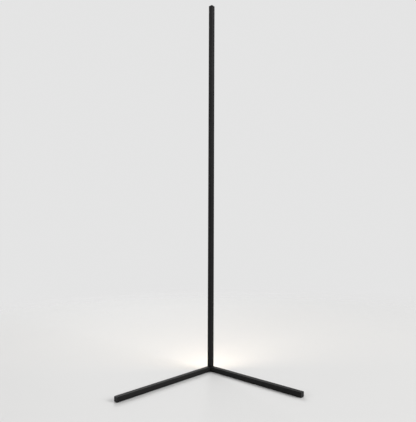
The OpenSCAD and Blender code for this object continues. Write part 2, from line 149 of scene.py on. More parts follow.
def to_rear(x: float, y: float, z: float) -> Matrix:
    """A place whose own +Z points to the rear of the lamp."""
    return Matrix.Translation((x, y, z)) @ Matrix.Rotation(-math.pi / 2, 4, "X")


def solids_of(node: str) -> list[Box]:
    """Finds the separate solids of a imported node.

    Args:
        node: name of the node.

    Returns:
        The box of each solid, the lowest first.
    """
    mesh = bmesh.new()
    mesh.from_mesh(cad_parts[node].data)
    bmesh.ops.remove_doubles(mesh, verts=mesh.verts, dist=WELD_DISTANCE)
    unseen = set(mesh.verts)
    boxes = []
    while unseen:
        reached = [unseen.pop()]
        corners = []
        while reached:
            vertex = reached.pop()
            corners.append(vertex.co.copy())
            for edge in vertex.link_edges:
                other = edge.other_vert(vertex)
                if other in unseen:
                    unseen.remove(other)
                    reached.append(other)
        boxes.append(Box(Vector(map(min, *corners)), Vector(map(max, *corners))))
    mesh.free()
    return sorted(boxes, key=lambda box: tuple(round(c / MICRON) for c in (box.low.z, box.low.x, box.low.y)))


# ---- Node groups ----


def cube_cell(side: float) -> Triple:
    """A grain's cell with three equal sides."""
    return (side, side, side)


def cells_per_metre(cell: Triple) -> Triple:
    """The number of cells in a metre along each axis."""
    return tuple(1 / side for side in cell)


class NodeBench:
    """Adds nodes to one tree and wires them up."""

    def __init__(self, tree: Tree) -> None:
        """Works on a node tree."""
        self.tree = tree

    def add(self, kind: str, inputs: dict[str | int, Feed] | None = None, **options: object) -> bpy.types.Node:
        """Adds a node.

        Args:
            kind: the node's type, without its common start.
            inputs: for each input, by name or number, a constant or the output that feeds it.
            options: properties of the node.

        Returns:
            The new node.
        """
        node = self.tree.nodes.new("ShaderNode" + kind)
        for option, value in options.items():
            setattr(node, option, value)
        for name, value in (inputs or {}).items():
            self.feed(node.inputs[name], value)
        return node

    def feed(self, socket: bpy.types.NodeSocket, value: Feed) -> None:
        """Links an output to an input, or sets the input to a constant.

        Args:
            socket: the input.
            value: the output or the constant.
        """
        if isinstance(value, Output):
            self.tree.links.new(value, socket)
        else:
            socket.default_value = value

    def math(self, operation: str, first: Feed, second: Feed = 0.0) -> Output:
        """Works out one number from two, and gives the output."""
        return self.add("Math", {0: first, 1: second}, operation=operation).outputs[0]

    def noise(self, place: Feed, scale: float, detail: float, roughness: float = 0.5) -> Output:
        """Spreads soft noise between 0 and 1 over a place stretched by a scale, and gives the output."""
        inputs = {"Vector": place, "Scale": scale, "Detail": detail, "Roughness": roughness}
        return self.add("TexNoise", inputs).outputs["Fac"]

    def remap(self, value: Feed, start: Point, finish: Point, curve: str = "LINEAR") -> Output:
        """Maps the range from start's two numbers to finish's two numbers, and gives the output."""
        ends = dict(zip(("From Min", "From Max", "To Min", "To Max"), (*start, *finish)))
        return self.add("MapRange", {"Value": value, **ends}, interpolation_type=curve).outputs["Result"]

    def blend(self, share: Feed, first: Feed, second: Feed) -> Output:
        """Mixes two colours by a share from 0 to 1, and gives the output."""
        ends = [end if isinstance(end, Output) else (*end, 1.0) for end in (first, second)]
        return self.add("Mix", {0: share, 6: ends[0], 7: ends[1]}, data_type="RGBA").outputs[2]

    def place(self, group: Tree, inputs: dict[str, Feed]) -> Output:
        """Places a node group with its own values for its inputs, and gives its output."""
        return self.add("Group", inputs, node_tree=group).outputs[0]


class SurfaceEffects:
    """The node groups that the finishes share, each built once.

    Attributes:
        CLOUD_RANGE: range of the noise over which cloudy grain rises from its valleys to its tops.
        VALLEY_SOFTNESS: how soft the valleys between the bumps of pitted grain are.
        VALLEY_DISTANCE: distance from a bump's top to its valley, in cells.
        WORN_COSINES: cosine between the rounded and the true normal where wear starts, and where it is full.
        WEAR_SAMPLES: number of looks round a point that find its rounded normal.
        BREAK_SIZE: size of the breaks in a worn line.
        BREAK_RANGE: range of the noise over which the line fades in after a break.
        DUST_AND_HIGHLIGHT_SLOPES: upright share of a normal where dust starts to lie, and where it lies fully.
        DUST_PATCH: size of the patches in the film of dust.
        DUST_RANGE: range of the noise over which the film grows from its thinnest to its full share.
        THINNEST_DUST: that thinnest share.
    """

    CLOUD_RANGE = (0.28, 0.72)
    VALLEY_SOFTNESS = 0.4
    VALLEY_DISTANCE = 0.8
    WORN_COSINES = (0.995, 0.86)
    WEAR_SAMPLES = 6
    BREAK_SIZE = 0.9 * MM
    BREAK_RANGE = (0.42, 0.62)
    # DUST_AND_HIGHLIGHT_SLOPES: upright share of a normal where dust and painted highlight start, and where
    # they are full. DUST_PATCH: size of the patches in this dust and painted highlight. DUST_RANGE: range of
    # the noise over which the dust and painted highlight grow from their thinnest to their full share.
    # THINNEST_DUST: that thinnest share.
    DUST_AND_HIGHLIGHT_SLOPES = (0.72, 1.0)
    DUST_PATCH = 14 * MM
    DUST_RANGE = (0.3, 0.7)
    THINNEST_DUST = 0.35

    def group(self, effect: Texture | Overlay) -> Tree:
        """Gives an effect's group, and builds it the first time.

        Args:
            effect: the effect.

        Returns:
            The group's node tree.
        """
        made = bpy.data.node_groups.get(effect.value)
        if made:
            return made
        builders = {
            Texture.CLOUDY: self._cloudy_grain,
            Texture.PITTED: self._pitted_grain,
            Overlay.EDGE_WEAR: self._edge_wear,
            Overlay.DUST_AND_TOP_HIGHLIGHT: self._dust_and_top_highlight,
        }
        return builders[effect](bpy.data.node_groups.new(effect.value, "ShaderNodeTree"))

    @staticmethod
    def _sockets(tree: Tree, inputs: dict[str, str], output: str) -> tuple[NodeBench, bpy.types.Node]:
        """Gives a group its named inputs and its one output.

        Args:
            tree: the group's tree.
            inputs: for each input's name its type, Float or Vector.
            output: name of the output, a number.

        Returns:
            The bench to work on and the node that holds the inputs.
        """
        for name, kind in inputs.items():
            tree.interface.new_socket(name=name, in_out="INPUT", socket_type="NodeSocket" + kind)
        tree.interface.new_socket(name=output, in_out="OUTPUT", socket_type="NodeSocketFloat")
        return NodeBench(tree), tree.nodes.new("NodeGroupInput")

    @staticmethod
    def _close(bench: NodeBench, result: Output) -> Tree:
        """Sends a result to the group's output, and gives the group."""
        bench.feed(bench.tree.nodes.new("NodeGroupOutput").inputs[0], result)
        return bench.tree

    @staticmethod
    def _cells(bench: NodeBench, count: Feed) -> Output:
        """Coordinates on the object, stretched to a count of cells per metre along each axis."""
        place = bench.add("TexCoord").outputs["Object"]
        return bench.add("VectorMath", {0: place, 1: count}, operation="MULTIPLY").outputs[0]

    def _cloudy_grain(self, tree: Tree) -> Tree:
        """Soft grain, as on powder coat, castings and drawn metal.

        Args:
            tree: the group's empty tree.

        Returns:
            The group.
        """
        bench, entry = self._sockets(tree, {"Cells per metre": "Vector"}, "Value")
        clouds = bench.noise(self._cells(bench, entry.outputs[0]), scale=1.0, detail=3.0, roughness=0.55)
        return self._close(bench, bench.remap(clouds, self.CLOUD_RANGE, (0.0, 1.0)))

    def _pitted_grain(self, tree: Tree) -> Tree:
        """Rounded bumps with sharp valleys, as on moulded plastic and rubber.

        Args:
            tree: the group's empty tree.

        Returns:
            The group.
        """
        bench, entry = self._sockets(tree, {"Cells per metre": "Vector"}, "Value")
        cells = self._cells(bench, entry.outputs[0])
        inputs = {"Vector": cells, "Scale": 1.0, "Smoothness": self.VALLEY_SOFTNESS}
        from_top = bench.add("TexVoronoi", inputs, feature="SMOOTH_F1").outputs["Distance"]
        return self._close(bench, bench.remap(from_top, (0.0, self.VALLEY_DISTANCE), (1.0, 0.0)))

    def _edge_wear(self, tree: Tree) -> Tree:
        """Where handling has rubbed the outer edges: a broken line along each edge.

        Args:
            tree: the group's empty tree.

        Returns:
            The group.
        """
        bench, entry = self._sockets(tree, {"Radius": "Float", "Amount": "Float"}, "Mask")
        rounded = bench.add("Bevel", {"Radius": entry.outputs["Radius"]}, samples=self.WEAR_SAMPLES).outputs[0]
        true_normal = bench.add("NewGeometry").outputs["Normal"]
        match = bench.add("VectorMath", {0: rounded, 1: true_normal}, operation="DOT_PRODUCT").outputs["Value"]
        line = bench.remap(match, self.WORN_COSINES, (0.0, 1.0))
        cells = self._cells(bench, cells_per_metre(cube_cell(self.BREAK_SIZE)))
        breaks = bench.noise(cells, scale=1.0, detail=4.0)
        broken = bench.math("MULTIPLY", line, bench.remap(breaks, self.BREAK_RANGE, (0.0, 1.0)))
        return self._close(bench, bench.math("MULTIPLY", broken, entry.outputs["Amount"]))

    def _dust_and_top_highlight(self, tree: Tree) -> Tree:
        """A thin, uneven film of dust on faces that look up, which also lightens them as a painted highlight.

        Args:
            tree: the group's empty tree.

        Returns:
            The group.
        """
        bench, entry = self._sockets(tree, {"Amount": "Float"}, "Mask")
        normal = bench.add("SeparateXYZ", {0: bench.add("NewGeometry").outputs["Normal"]})
        upward = bench.remap(normal.outputs["Z"], self.DUST_AND_HIGHLIGHT_SLOPES, (0.0, 1.0), "SMOOTHSTEP")
        cells = self._cells(bench, cells_per_metre(cube_cell(self.DUST_PATCH)))
        patches = bench.noise(cells, scale=1.0, detail=6.0, roughness=0.65)
        dust_and_highlight = bench.math("MULTIPLY", upward, bench.remap(patches, self.DUST_RANGE, (self.THINNEST_DUST, 1.0)))
        return self._close(bench, bench.math("MULTIPLY", dust_and_highlight, entry.outputs["Amount"]))


# ---- Finishes ----


@dataclass(frozen=True)
class Relief:
    """The fine relief of a surface.

    Attributes:
        texture: the kind of relief.
        cell: size of its cells along X, Y and Z.
        depth: height from its valleys to its tops.
    """

    texture: Texture
    cell: Triple
    depth: float


@dataclass(frozen=True)
class Wear:
    """What rubbing has laid bare along the edges.

    Attributes:
        colour: colour of what shows there.
        radius: how far from an edge it reaches.
        amount: how much of it shows, from 0 to 1.
    """

    colour: Colour
    radius: float
    amount: float


@dataclass(frozen=True)
class Glow:
    """Light that leaves a surface.

    Attributes:
        bright: colour where most light comes through.
        dim: colour where least light comes through.
        spot_pitch: distance between bright spots along Z, or 0 for an even glow.
        first_spot: height of one of the spots.
        half_width: distance from the middle plane at which the light has faded to the dim colour, or 0.
        CLOUDS_PER_METRE: number of faint clouds in a metre of the light.
        CLOUD_RANGE: range of the noise that the clouds are made of.
        IN_CLOUD: share of the light in the darkest cloud.
        BETWEEN_SPOTS: share of the light halfway between two spots.
        FADE_START: share of the half width at which the light starts to fade.
    """

    bright: Colour
    dim: Colour
    spot_pitch: float = 0.0
    first_spot: float = 0.0
    half_width: float = 0.0

    CLOUDS_PER_METRE = 90.0
    CLOUD_RANGE = (0.3, 0.7)
    IN_CLOUD = 0.9
    BETWEEN_SPOTS = 0.6
    FADE_START = 0.3

    def colour(self, bench: NodeBench) -> Output:
        """Works out the light's colour over the surface.

        Args:
            bench: the material's bench.

        Returns:
            The output with the colour.
        """
        spot = bench.add("TexCoord").outputs["Object"]
        place = bench.add("SeparateXYZ", {0: spot})
        clouds = bench.noise(spot, self.CLOUDS_PER_METRE, detail=2.0)
        share = bench.remap(clouds, self.CLOUD_RANGE, (self.IN_CLOUD, 1.0))
        if self.spot_pitch:
            turns = bench.math("SUBTRACT", place.outputs["Z"], self.first_spot)
            wave = bench.math("COSINE", bench.math("MULTIPLY", turns, 2 * math.pi / self.spot_pitch))
            share = bench.math("MULTIPLY", share, bench.remap(wave, (-1.0, 1.0), (self.BETWEEN_SPOTS, 1.0)))
        if self.half_width:
            off_middle = bench.math("ABSOLUTE", place.outputs["X"])
            fade = (self.FADE_START * self.half_width, self.half_width)
            across = bench.remap(off_middle, fade, (1.0, 0.0), "SMOOTHSTEP")
            share = bench.math("MULTIPLY", share, across)
        return bench.blend(share, self.dim, self.bright)


@dataclass(frozen=True)
class Finish:
    """One finish: what a surface is made of and how it was treated.

    Attributes:
        name: the material's name.
        slot: the record's material slot; not used.
        colour: the main colour.
        second: the colour of faint, soft patches in it.
        patch: size of these patches.
        roughness: lowest and highest roughness over the grain.
        relief: the fine relief.
        metallic: 1 for bare metal, 0 for a coating or plastic.
        specular: strength of the mirror-like share of a coating's gloss.
        wear: what shows along the edges.
        dust_and_top_highlight: how much dust has settled on faces that look up, with a painted highlight that
            lightens them.
        glow: the light that the surface gives off.
        DUST_AND_HIGHLIGHT_COLOUR: colour of the dust, which is also the colour of the painted highlight on
            faces that look up.
        DUST_ROUGHNESS: roughness that a full film of dust adds.
    """

    name: str
    slot: str
    colour: Colour
    second: Colour
    patch: float
    roughness: Point
    relief: Relief
    metallic: float = 0.0
    specular: float = 0.5
    wear: Wear | None = None
    dust_and_top_highlight: float = 0.0
    glow: Glow | None = None

    DUST_AND_HIGHLIGHT_COLOUR = (0.42, 0.39, 0.35)
    DUST_ROUGHNESS = 0.35

    def material(self) -> bpy.types.Material:
        """Gives the finish as a material, built the first time it is asked for.

        Returns:
            The material.
        """
        made = bpy.data.materials.get(self.name)
        if made:
            return made
        made = bpy.data.materials.new(self.name)
        made.use_nodes = True
        made.diffuse_color = (*self.colour, 1.0)
        bench = NodeBench(made.node_tree)
        shader = made.node_tree.nodes["Principled BSDF"]
        shader.inputs["Metallic"].default_value = self.metallic
        shader.inputs["Specular IOR Level"].default_value = self.specular
        effects = SurfaceEffects()
        grain_cells = {"Cells per metre": cells_per_metre(self.relief.cell)}
        grain = bench.place(effects.group(self.relief.texture), grain_cells)
        patch_cells = {"Cells per metre": cells_per_metre(cube_cell(self.patch))}
        patches = bench.place(effects.group(Texture.CLOUDY), patch_cells)
        colour = bench.blend(patches, self.colour, self.second)
        roughness = bench.remap(grain, (0.0, 1.0), self.roughness)
        if self.wear:
            worn = {"Radius": self.wear.radius, "Amount": self.wear.amount}
            colour = bench.blend(bench.place(effects.group(Overlay.EDGE_WEAR), worn), colour, self.wear.colour)
        # Dust on faces that look up, which also lightens them as a painted highlight.
        if self.dust_and_top_highlight:
            dust_and_highlight = bench.place(effects.group(Overlay.DUST_AND_TOP_HIGHLIGHT), {"Amount": self.dust_and_top_highlight})
            colour = bench.blend(dust_and_highlight, colour, self.DUST_AND_HIGHLIGHT_COLOUR)
            roughness = bench.math("ADD", roughness, bench.math("MULTIPLY", dust_and_highlight, self.DUST_ROUGHNESS))
        bench.feed(shader.inputs["Base Color"], colour)
        bench.feed(shader.inputs["Roughness"], roughness)
        bump = bench.add("Bump", {"Height": grain, "Distance": self.relief.depth, "Strength": 1.0})
        bench.feed(shader.inputs["Normal"], bump.outputs[0])
        if self.glow:
            shader.inputs["Emission Strength"].default_value = 1.0
            bench.feed(shader.inputs["Emission Color"], self.glow.colour(bench))
        return made


# The tape's chips, the lowest first, and the distance from each to the next.
LED_BOXES = solids_of("led_chips")
LED_PITCH = LED_BOXES[1].centre.z - LED_BOXES[0].centre.z

BARE_ALUMINIUM = (0.32, 0.32, 0.33)
BARE_STEEL = (0.24, 0.23, 0.22)

ANODISED = Finish(
    "black_anodised_extrusion", "black_anodised_aluminium",
    colour=(0.007, 0.007, 0.0075), second=(0.010, 0.0095, 0.0095), patch=30 * MM, roughness=(0.34, 0.48),
    relief=Relief(Texture.CLOUDY, (0.3 * MM, 0.3 * MM, 90 * MM), 9 * MICRON),
    metallic=0.3, specular=0.11, wear=Wear(BARE_ALUMINIUM, 0.12 * MM, 0.05), dust_and_top_highlight=0.01,
)
COATED_STEEL = Finish(
    "black_powder_coat_tube", "black_coated_steel",
    colour=(0.008, 0.008, 0.0085), second=(0.012, 0.0115, 0.011), patch=22 * MM, roughness=(0.60, 0.76),
    relief=Relief(Texture.CLOUDY, cube_cell(0.7 * MM), 30 * MICRON),
    specular=0.12, wear=Wear(BARE_STEEL, 0.15 * MM, 0.05), dust_and_top_highlight=0.012,
)
COATED_CASTING = Finish(
    "black_powder_coat_casting", "black_coated_casting",
    colour=(0.008, 0.008, 0.0085), second=(0.0115, 0.011, 0.011), patch=9 * MM, roughness=(0.60, 0.76),
    relief=Relief(Texture.CLOUDY, cube_cell(0.6 * MM), 30 * MICRON),
    specular=0.12, wear=Wear(BARE_ALUMINIUM, 0.15 * MM, 0.05), dust_and_top_highlight=0.012,
)
MOULDED = Finish(
    "black_moulded_plastic", "moulded_black",
    colour=(0.009, 0.009, 0.0095), second=(0.012, 0.012, 0.012), patch=6 * MM, roughness=(0.42, 0.62),
    relief=Relief(Texture.PITTED, cube_cell(0.22 * MM), 9 * MICRON),
    specular=0.15, wear=Wear((0.03, 0.03, 0.03), 0.12 * MM, 0.3), dust_and_top_highlight=0.012,
)
SOCKET_PLASTIC = Finish(
    "socket_housing_plastic", "socket_plastic",
    colour=(0.02, 0.02, 0.021), second=(0.026, 0.026, 0.026), patch=3 * MM, roughness=(0.28, 0.42),
    relief=Relief(Texture.PITTED, cube_cell(0.3 * MM), 3 * MICRON),
    specular=0.45, wear=Wear((0.07, 0.07, 0.07), 0.08 * MM, 0.3),
)
RUBBER = Finish(
    "black_foot_rubber", "black_rubber",
    colour=(0.018, 0.018, 0.018), second=(0.032, 0.031, 0.030), patch=2.5 * MM, roughness=(0.74, 0.92),
    relief=Relief(Texture.PITTED, cube_cell(0.35 * MM), 12 * MICRON),
    specular=0.3, wear=Wear((0.06, 0.06, 0.058), 0.2 * MM, 0.5),
)
OPAL = Finish(
    "opal_silicone_diffuser", "opal_silicone",
    colour=(0.60, 0.56, 0.49), second=(0.56, 0.52, 0.45), patch=25 * MM, roughness=(0.48, 0.60),
    relief=Relief(Texture.CLOUDY, (0.35 * MM, 0.35 * MM, 40 * MM), 5 * MICRON), specular=0.4,
    glow=Glow((0.56, 0.47, 0.36), (0.38, 0.30, 0.21), LED_PITCH, LED_BOXES[0].centre.z, 11.5 * MM),
)
SOLDER_MASK = Finish(
    "white_solder_mask", "white_tape",
    colour=(0.84, 0.84, 0.80), second=(0.78, 0.77, 0.72), patch=12 * MM, roughness=(0.30, 0.45),
    relief=Relief(Texture.CLOUDY, cube_cell(0.5 * MM), 3 * MICRON),
)
TINNED_COPPER = Finish(
    "tinned_copper_pad", "white_tape",
    colour=(0.50, 0.48, 0.45), second=(0.46, 0.36, 0.26), patch=1.2 * MM, roughness=(0.26, 0.46),
    relief=Relief(Texture.CLOUDY, cube_cell(0.3 * MM), 4 * MICRON), metallic=1.0,
)
CUT_MARK_INK = Finish(
    "cut_mark_ink", "white_tape",
    colour=(0.05, 0.05, 0.05), second=(0.08, 0.08, 0.08), patch=0.8 * MM, roughness=(0.5, 0.6),
    relief=Relief(Texture.CLOUDY, cube_cell(0.2 * MM), 2 * MICRON),
)
CHIP_HOUSING = Finish(
    "white_chip_housing", "warm_phosphor",
    colour=(0.82, 0.82, 0.79), second=(0.78, 0.77, 0.73), patch=1 * MM, roughness=(0.45, 0.60),
    relief=Relief(Texture.PITTED, cube_cell(0.1 * MM), 2 * MICRON),
)
PHOSPHOR = Finish(
    "glowing_phosphor", "warm_phosphor",
    colour=(0.90, 0.62, 0.16), second=(0.86, 0.55, 0.12), patch=0.4 * MM, roughness=(0.35, 0.5),
    relief=Relief(Texture.CLOUDY, cube_cell(0.15 * MM), 3 * MICRON),
    glow=Glow((0.80, 0.68, 0.40), (0.78, 0.60, 0.30)),
)
RESISTOR_GLASS = Finish(
    "resistor_overglaze", "resistor_ceramic",
    colour=(0.02, 0.02, 0.022), second=(0.03, 0.03, 0.03), patch=0.5 * MM, roughness=(0.22, 0.34),
    relief=Relief(Texture.CLOUDY, cube_cell(0.2 * MM), 2 * MICRON),
)
RESISTOR_CERAMIC = Finish(
    "resistor_alumina", "resistor_ceramic",
    colour=(0.74, 0.73, 0.70), second=(0.68, 0.67, 0.63), patch=0.4 * MM, roughness=(0.6, 0.75),
    relief=Relief(Texture.PITTED, cube_cell(0.08 * MM), 2 * MICRON),
)
SOLDER = Finish(
    "tin_solder", "socket_nickel",
    colour=(0.70, 0.70, 0.70), second=(0.60, 0.60, 0.61), patch=0.6 * MM, roughness=(0.18, 0.34),
    relief=Relief(Texture.CLOUDY, cube_cell(0.25 * MM), 5 * MICRON), metallic=1.0,
)
ZINC = Finish(
    "zinc_plated_bar", "zinc_plated_steel",
    colour=(0.46, 0.47, 0.50), second=(0.50, 0.46, 0.38), patch=4 * MM, roughness=(0.34, 0.54),
    relief=Relief(Texture.CLOUDY, (0.2 * MM, 0.2 * MM, 9 * MM), 8 * MICRON),
    metallic=1.0, wear=Wear((0.75, 0.75, 0.76), 0.15 * MM, 0.6),
)
SCREW_STEEL = Finish(
    "black_oxide_screw", "black_screw_steel",
    colour=(0.045, 0.045, 0.05), second=(0.065, 0.06, 0.058), patch=0.8 * MM, roughness=(0.32, 0.48),
    relief=Relief(Texture.CLOUDY, cube_cell(0.18 * MM), 3 * MICRON),
    metallic=0.9, wear=Wear((0.30, 0.29, 0.28), 0.06 * MM, 0.5),
)
BRASS = Finish(
    "turned_brass_pin", "socket_brass",
    colour=(0.80, 0.56, 0.25), second=(0.70, 0.46, 0.19), patch=1.5 * MM, roughness=(0.18, 0.32),
    relief=Relief(Texture.CLOUDY, (0.5 * MM, 0.08 * MM, 0.5 * MM), 2 * MICRON), metallic=1.0,
)
NICKEL = Finish(
    "nickel_plated_brass", "socket_nickel",
    colour=(0.66, 0.63, 0.58), second=(0.60, 0.56, 0.50), patch=1.5 * MM, roughness=(0.2, 0.34),
    relief=Relief(Texture.CLOUDY, cube_cell(0.2 * MM), 2 * MICRON),
    metallic=1.0, wear=Wear((0.78, 0.62, 0.36), 0.04 * MM, 0.15),
)
DRAWN_INSULATION = Relief(Texture.CLOUDY, (0.3 * MM, 0.3 * MM, 4 * MM), 4 * MICRON)
RED_INSULATION = Finish(
    "red_lead_insulation", "red_insulation",
    colour=(0.48, 0.025, 0.02), second=(0.40, 0.02, 0.016), patch=4 * MM, roughness=(0.40, 0.55),
    relief=DRAWN_INSULATION,
)
BLACK_INSULATION = Finish(
    "black_lead_insulation", "black_insulation",
    colour=(0.02, 0.02, 0.02), second=(0.028, 0.028, 0.028), patch=4 * MM, roughness=(0.40, 0.55),
    relief=DRAWN_INSULATION,
)


# ---- Outlines and rings ----


def arc(centre: Point, radius: float, start: float, finish: float, steps: int) -> list[Point]:
    """Lays points along an arc.

    Args:
        centre: the arc's centre.
        radius: the arc's radius.
        start: direction of its first point, in degrees.
        finish: direction of its last point, in degrees.
        steps: number of straight pieces that it is made of.

    Returns:
        The points, both ends included.
    """
    points = []
    for i in range(steps + 1):
        turn = math.radians(start + (finish - start) * i / steps)
        points.append((centre[0] + radius * math.cos(turn), centre[1] + radius * math.sin(turn)))
    return points


def rounded_rectangle(width: float, height: float, radius: float, steps: int = 5) -> list[Point]:
    """Draws a rectangle with round corners round the origin.

    Args:
        width: size along the first axis.
        height: size along the second axis.
        radius: radius of the corners.
        steps: straight pieces in each corner.

    Returns:
        The outline's points, counter-clockwise.
    """
    across, along = width / 2 - radius, height / 2 - radius
    corners = [(across, along), (-across, along), (-across, -along), (across, -along)]
    return [p for i, corner in enumerate(corners) for p in arc(corner, radius, 90 * i, 90 * i + 90, steps)]


def circle(radius: float, points: int) -> list[Point]:
    """Draws a circle round the origin with a number of points."""
    return arc((0.0, 0.0), radius, 0, 360, points)[:-1]


def hexagon(across_flats: float, points: int, largest: float = math.inf) -> list[Point]:
    """Draws a hexagon with as many points as a circle, so that the two can be skinned together.

    Args:
        across_flats: distance between two opposite flats.
        points: number of points, a multiple of six.
        largest: radius of a circle that cuts the corners off.

    Returns:
        The outline's points.
    """
    sixth_turn = math.pi / 3
    outline = []
    for i in range(points):
        turn = 2 * math.pi * i / points
        from_flat = turn % sixth_turn - sixth_turn / 2
        radius = min(across_flats / 2 / math.cos(from_flat), largest)
        outline.append((radius * math.cos(turn), radius * math.sin(turn)))
    return outline


def level(outline: Iterable[Point], height: float) -> Ring:
    """Lifts a flat outline to a height."""
    return [Vector((x, y, height)) for x, y in outline]


def square_ring(side: float, corner: float, height: float) -> Ring:
    """Draws a square with round corners at a height."""
    return level(rounded_rectangle(side, side, corner), height)


def on_flats(outline: Iterable[Point]) -> list[Point]:
    """Turns points along the profile's two outer flats into X and Y in the frame."""
    half_root = math.sqrt(0.5)
    return [((u - v) * half_root, RIDGE_Y + (u + v) * half_root) for u, v in outline]


def turned_rings(profile: Iterable[Point], points: int) -> list[Ring]:
    """Makes round rings from pairs of radius and height."""
    return [level(circle(radius, points), height) for radius, height in profile]


# Height of a thread's ridge as a share of its pitch, and the number of rings that draw one turn of it.
THREAD_DEPTH = 0.55
THREAD_RINGS = 4


def threaded(radius: float, pitch: float, low: float, high: float, points: int) -> list[Ring]:
    """Makes the rings of a threaded shank.

    Args:
        radius: outer radius of the thread.
        pitch: rise of the thread in one turn.
        low: height of the thread's start.
        high: height of its end.
        points: points in each ring.

    Returns:
        The rings, from low to high, with a helical ridge that fades at both ends.
    """
    depth = THREAD_DEPTH * pitch
    steps = round((high - low) / pitch * THREAD_RINGS)
    rings = []
    for step in range(steps + 1):
        z = low + (high - low) * step / steps
        fade = min(1.0, (z - low) / pitch, (high - z) / pitch)
        ring = []
        for i in range(points):
            phase = ((z - low) / pitch - i / points) % 1.0
            reach = radius - fade * depth * (1 - abs(2 * phase - 1))
            turn = 2 * math.pi * i / points
            ring.append(Vector((reach * math.cos(turn), reach * math.sin(turn), z)))
        rings.append(ring)
    return rings


# ---- Workpieces ----


# Faces that meet at more than this have a sharp edge between them, which gets a rounding of two faces.
SHARP_EDGE = math.radians(35)
ROUNDING_FACES = 2


def soften(piece: Piece, width: float, weld: bool = False) -> None:
    """Takes the sharpness off a piece's edges with modifiers, so its own mesh stays as it is.

    Args:
        piece: the piece.
        width: width of the rounding.
        weld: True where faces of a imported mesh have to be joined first.
    """
    if weld:
        piece.modifiers.new("joined_faces", "WELD").merge_threshold = WELD_DISTANCE
    rounding = piece.modifiers.new("soft_edges", "BEVEL")
    rounding.limit_method = "ANGLE"
    rounding.angle_limit = SHARP_EDGE
    rounding.width = width
    rounding.segments = ROUNDING_FACES
    rounding.use_clamp_overlap = not weld
    rounding.loop_slide = False
    rounding.harden_normals = True


class Workpiece:
    """A mesh in the making, put together from closed shells.

    Attributes:
        SMOOTH_BELOW: faces that meet at less than this are shaded as one smooth surface.
        CORNER_LOSS: what a block's round corners lose of their radius for each unit that a ring is drawn in.
    """

    SMOOTH_BELOW = math.radians(32)
    CORNER_LOSS = 0.75

    def __init__(self, name: str, *finishes: Finish) -> None:
        """Starts a piece.

        Args:
            name: the piece's name.
            finishes: its finishes. The first goes on each shell that names none.
        """
        self.name = name
        self.finishes = finishes
        self.mesh = bmesh.new()

    def skin(self, rings: Sequence[Ring], place: Matrix = Matrix.Identity(4), finish: Finish | None = None,
             end_finish: Finish | None = None, joined: bool = False) -> None:
        """Skins a row of rings that have the same number of points.

        Args:
            rings: the rings in order.
            place: where the shell goes.
            finish: the shell's finish.
            end_finish: finish of the last ring's cap, where it differs.
            joined: True joins the last ring to the first. Otherwise each end gets a cap.
        """
        rows = [[self.mesh.verts.new(place @ point) for point in ring] for ring in rings]
        pairs = list(zip(rows, rows[1:])) + ([(rows[-1], rows[0])] if joined else [])
        faces = []
        for lower, upper in pairs:
            for i in range(len(lower)):
                j = (i + 1) % len(lower)
                faces.append(self.mesh.faces.new((lower[i], lower[j], upper[j], upper[i])))
        if not joined:
            faces += [self.mesh.faces.new(rows[0][::-1]), self.mesh.faces.new(rows[-1])]
        for face in faces:
            face.material_index = self._number(finish)
        faces[-1].material_index = self._number(end_finish or finish)

    def _number(self, finish: Finish | None) -> int:
        """The number that the mesh knows a finish by."""
        return self.finishes.index(finish) if finish else 0

    def prism(self, outline: Sequence[Point], low: float, high: float, place: Matrix = Matrix.Identity(4),
              hole: Sequence[Point] = ()) -> None:
        """Raises a flat outline between two heights.

        Args:
            outline: the outline's points.
            low: height of the lower face.
            high: height of the upper face.
            place: where the shell goes.
            hole: points of a hole through it.
        """
        if not hole:
            self.skin([level(outline, low), level(outline, high)], place)
            return
        caps: dict[float, list[bmesh.types.BMEdge]] = {low: [], high: []}
        for points in (outline, hole):
            rows = {z: [self.mesh.verts.new(place @ point) for point in level(points, z)] for z in (low, high)}
            for i in range(len(points)):
                j = (i + 1) % len(points)
                self.mesh.faces.new((rows[low][i], rows[low][j], rows[high][j], rows[high][i]))
                for z in (low, high):
                    caps[z].append(self.mesh.edges.get((rows[z][i], rows[z][j])))
        for edges in caps.values():
            bmesh.ops.triangle_fill(self.mesh, edges=edges, use_beauty=True)

    def turned(self, profile: Sequence[Point], place: Matrix, points: int = 48,
               finish: Finish | None = None) -> None:
        """Turns a profile of radius and height round its own +Z, as on a lathe."""
        self.skin(turned_rings(profile, points), place, finish)

    def block(self, size: Vector, edge: float, place: Matrix, finish: Finish | None = None,
              steps: int = 1) -> None:
        """Makes a block with soft edges that stands on its place.

        Args:
            size: its three sides.
            edge: radius of its edges.
            place: where the middle of its lowest face goes.
            finish: its finish.
            steps: straight pieces across each edge.
        """
        rings = []
        for base, direction in ((edge, -1), (size.z - edge, 1)):
            for i in range(steps + 1):
                turn = math.pi / 2 * (i / steps if direction > 0 else 1 - i / steps)
                inset = edge * (1 - math.cos(turn))
                corner = edge - self.CORNER_LOSS * inset
                outline = rounded_rectangle(size.x - 2 * inset, size.y - 2 * inset, corner, steps)
                rings.append(level(outline, base + direction * edge * math.sin(turn)))
        self.skin(rings, place, finish)

    def finished(self, *replaced: str, edge: float = 0.0) -> Piece:
        """Turns the work into a piece of the lamp.

        Args:
            replaced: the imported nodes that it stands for.
            edge: width of the rounding on its sharp edges.

        Returns:
            The finished piece.
        """
        bmesh.ops.recalc_face_normals(self.mesh, faces=self.mesh.faces)
        data = bpy.data.meshes.new(self.name)
        self.mesh.to_mesh(data)
        self.mesh.free()
        data.shade_smooth()
        data.set_sharp_from_angle(angle=self.SMOOTH_BELOW)
        for finish in self.finishes:
            data.materials.append(finish.material())
        piece = bpy.data.objects.new(self.name, data)
        bpy.context.scene.collection.objects.link(piece)
        if edge:
            soften(piece, edge)
        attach(piece, BODY)
        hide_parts(*replaced)
        return piece


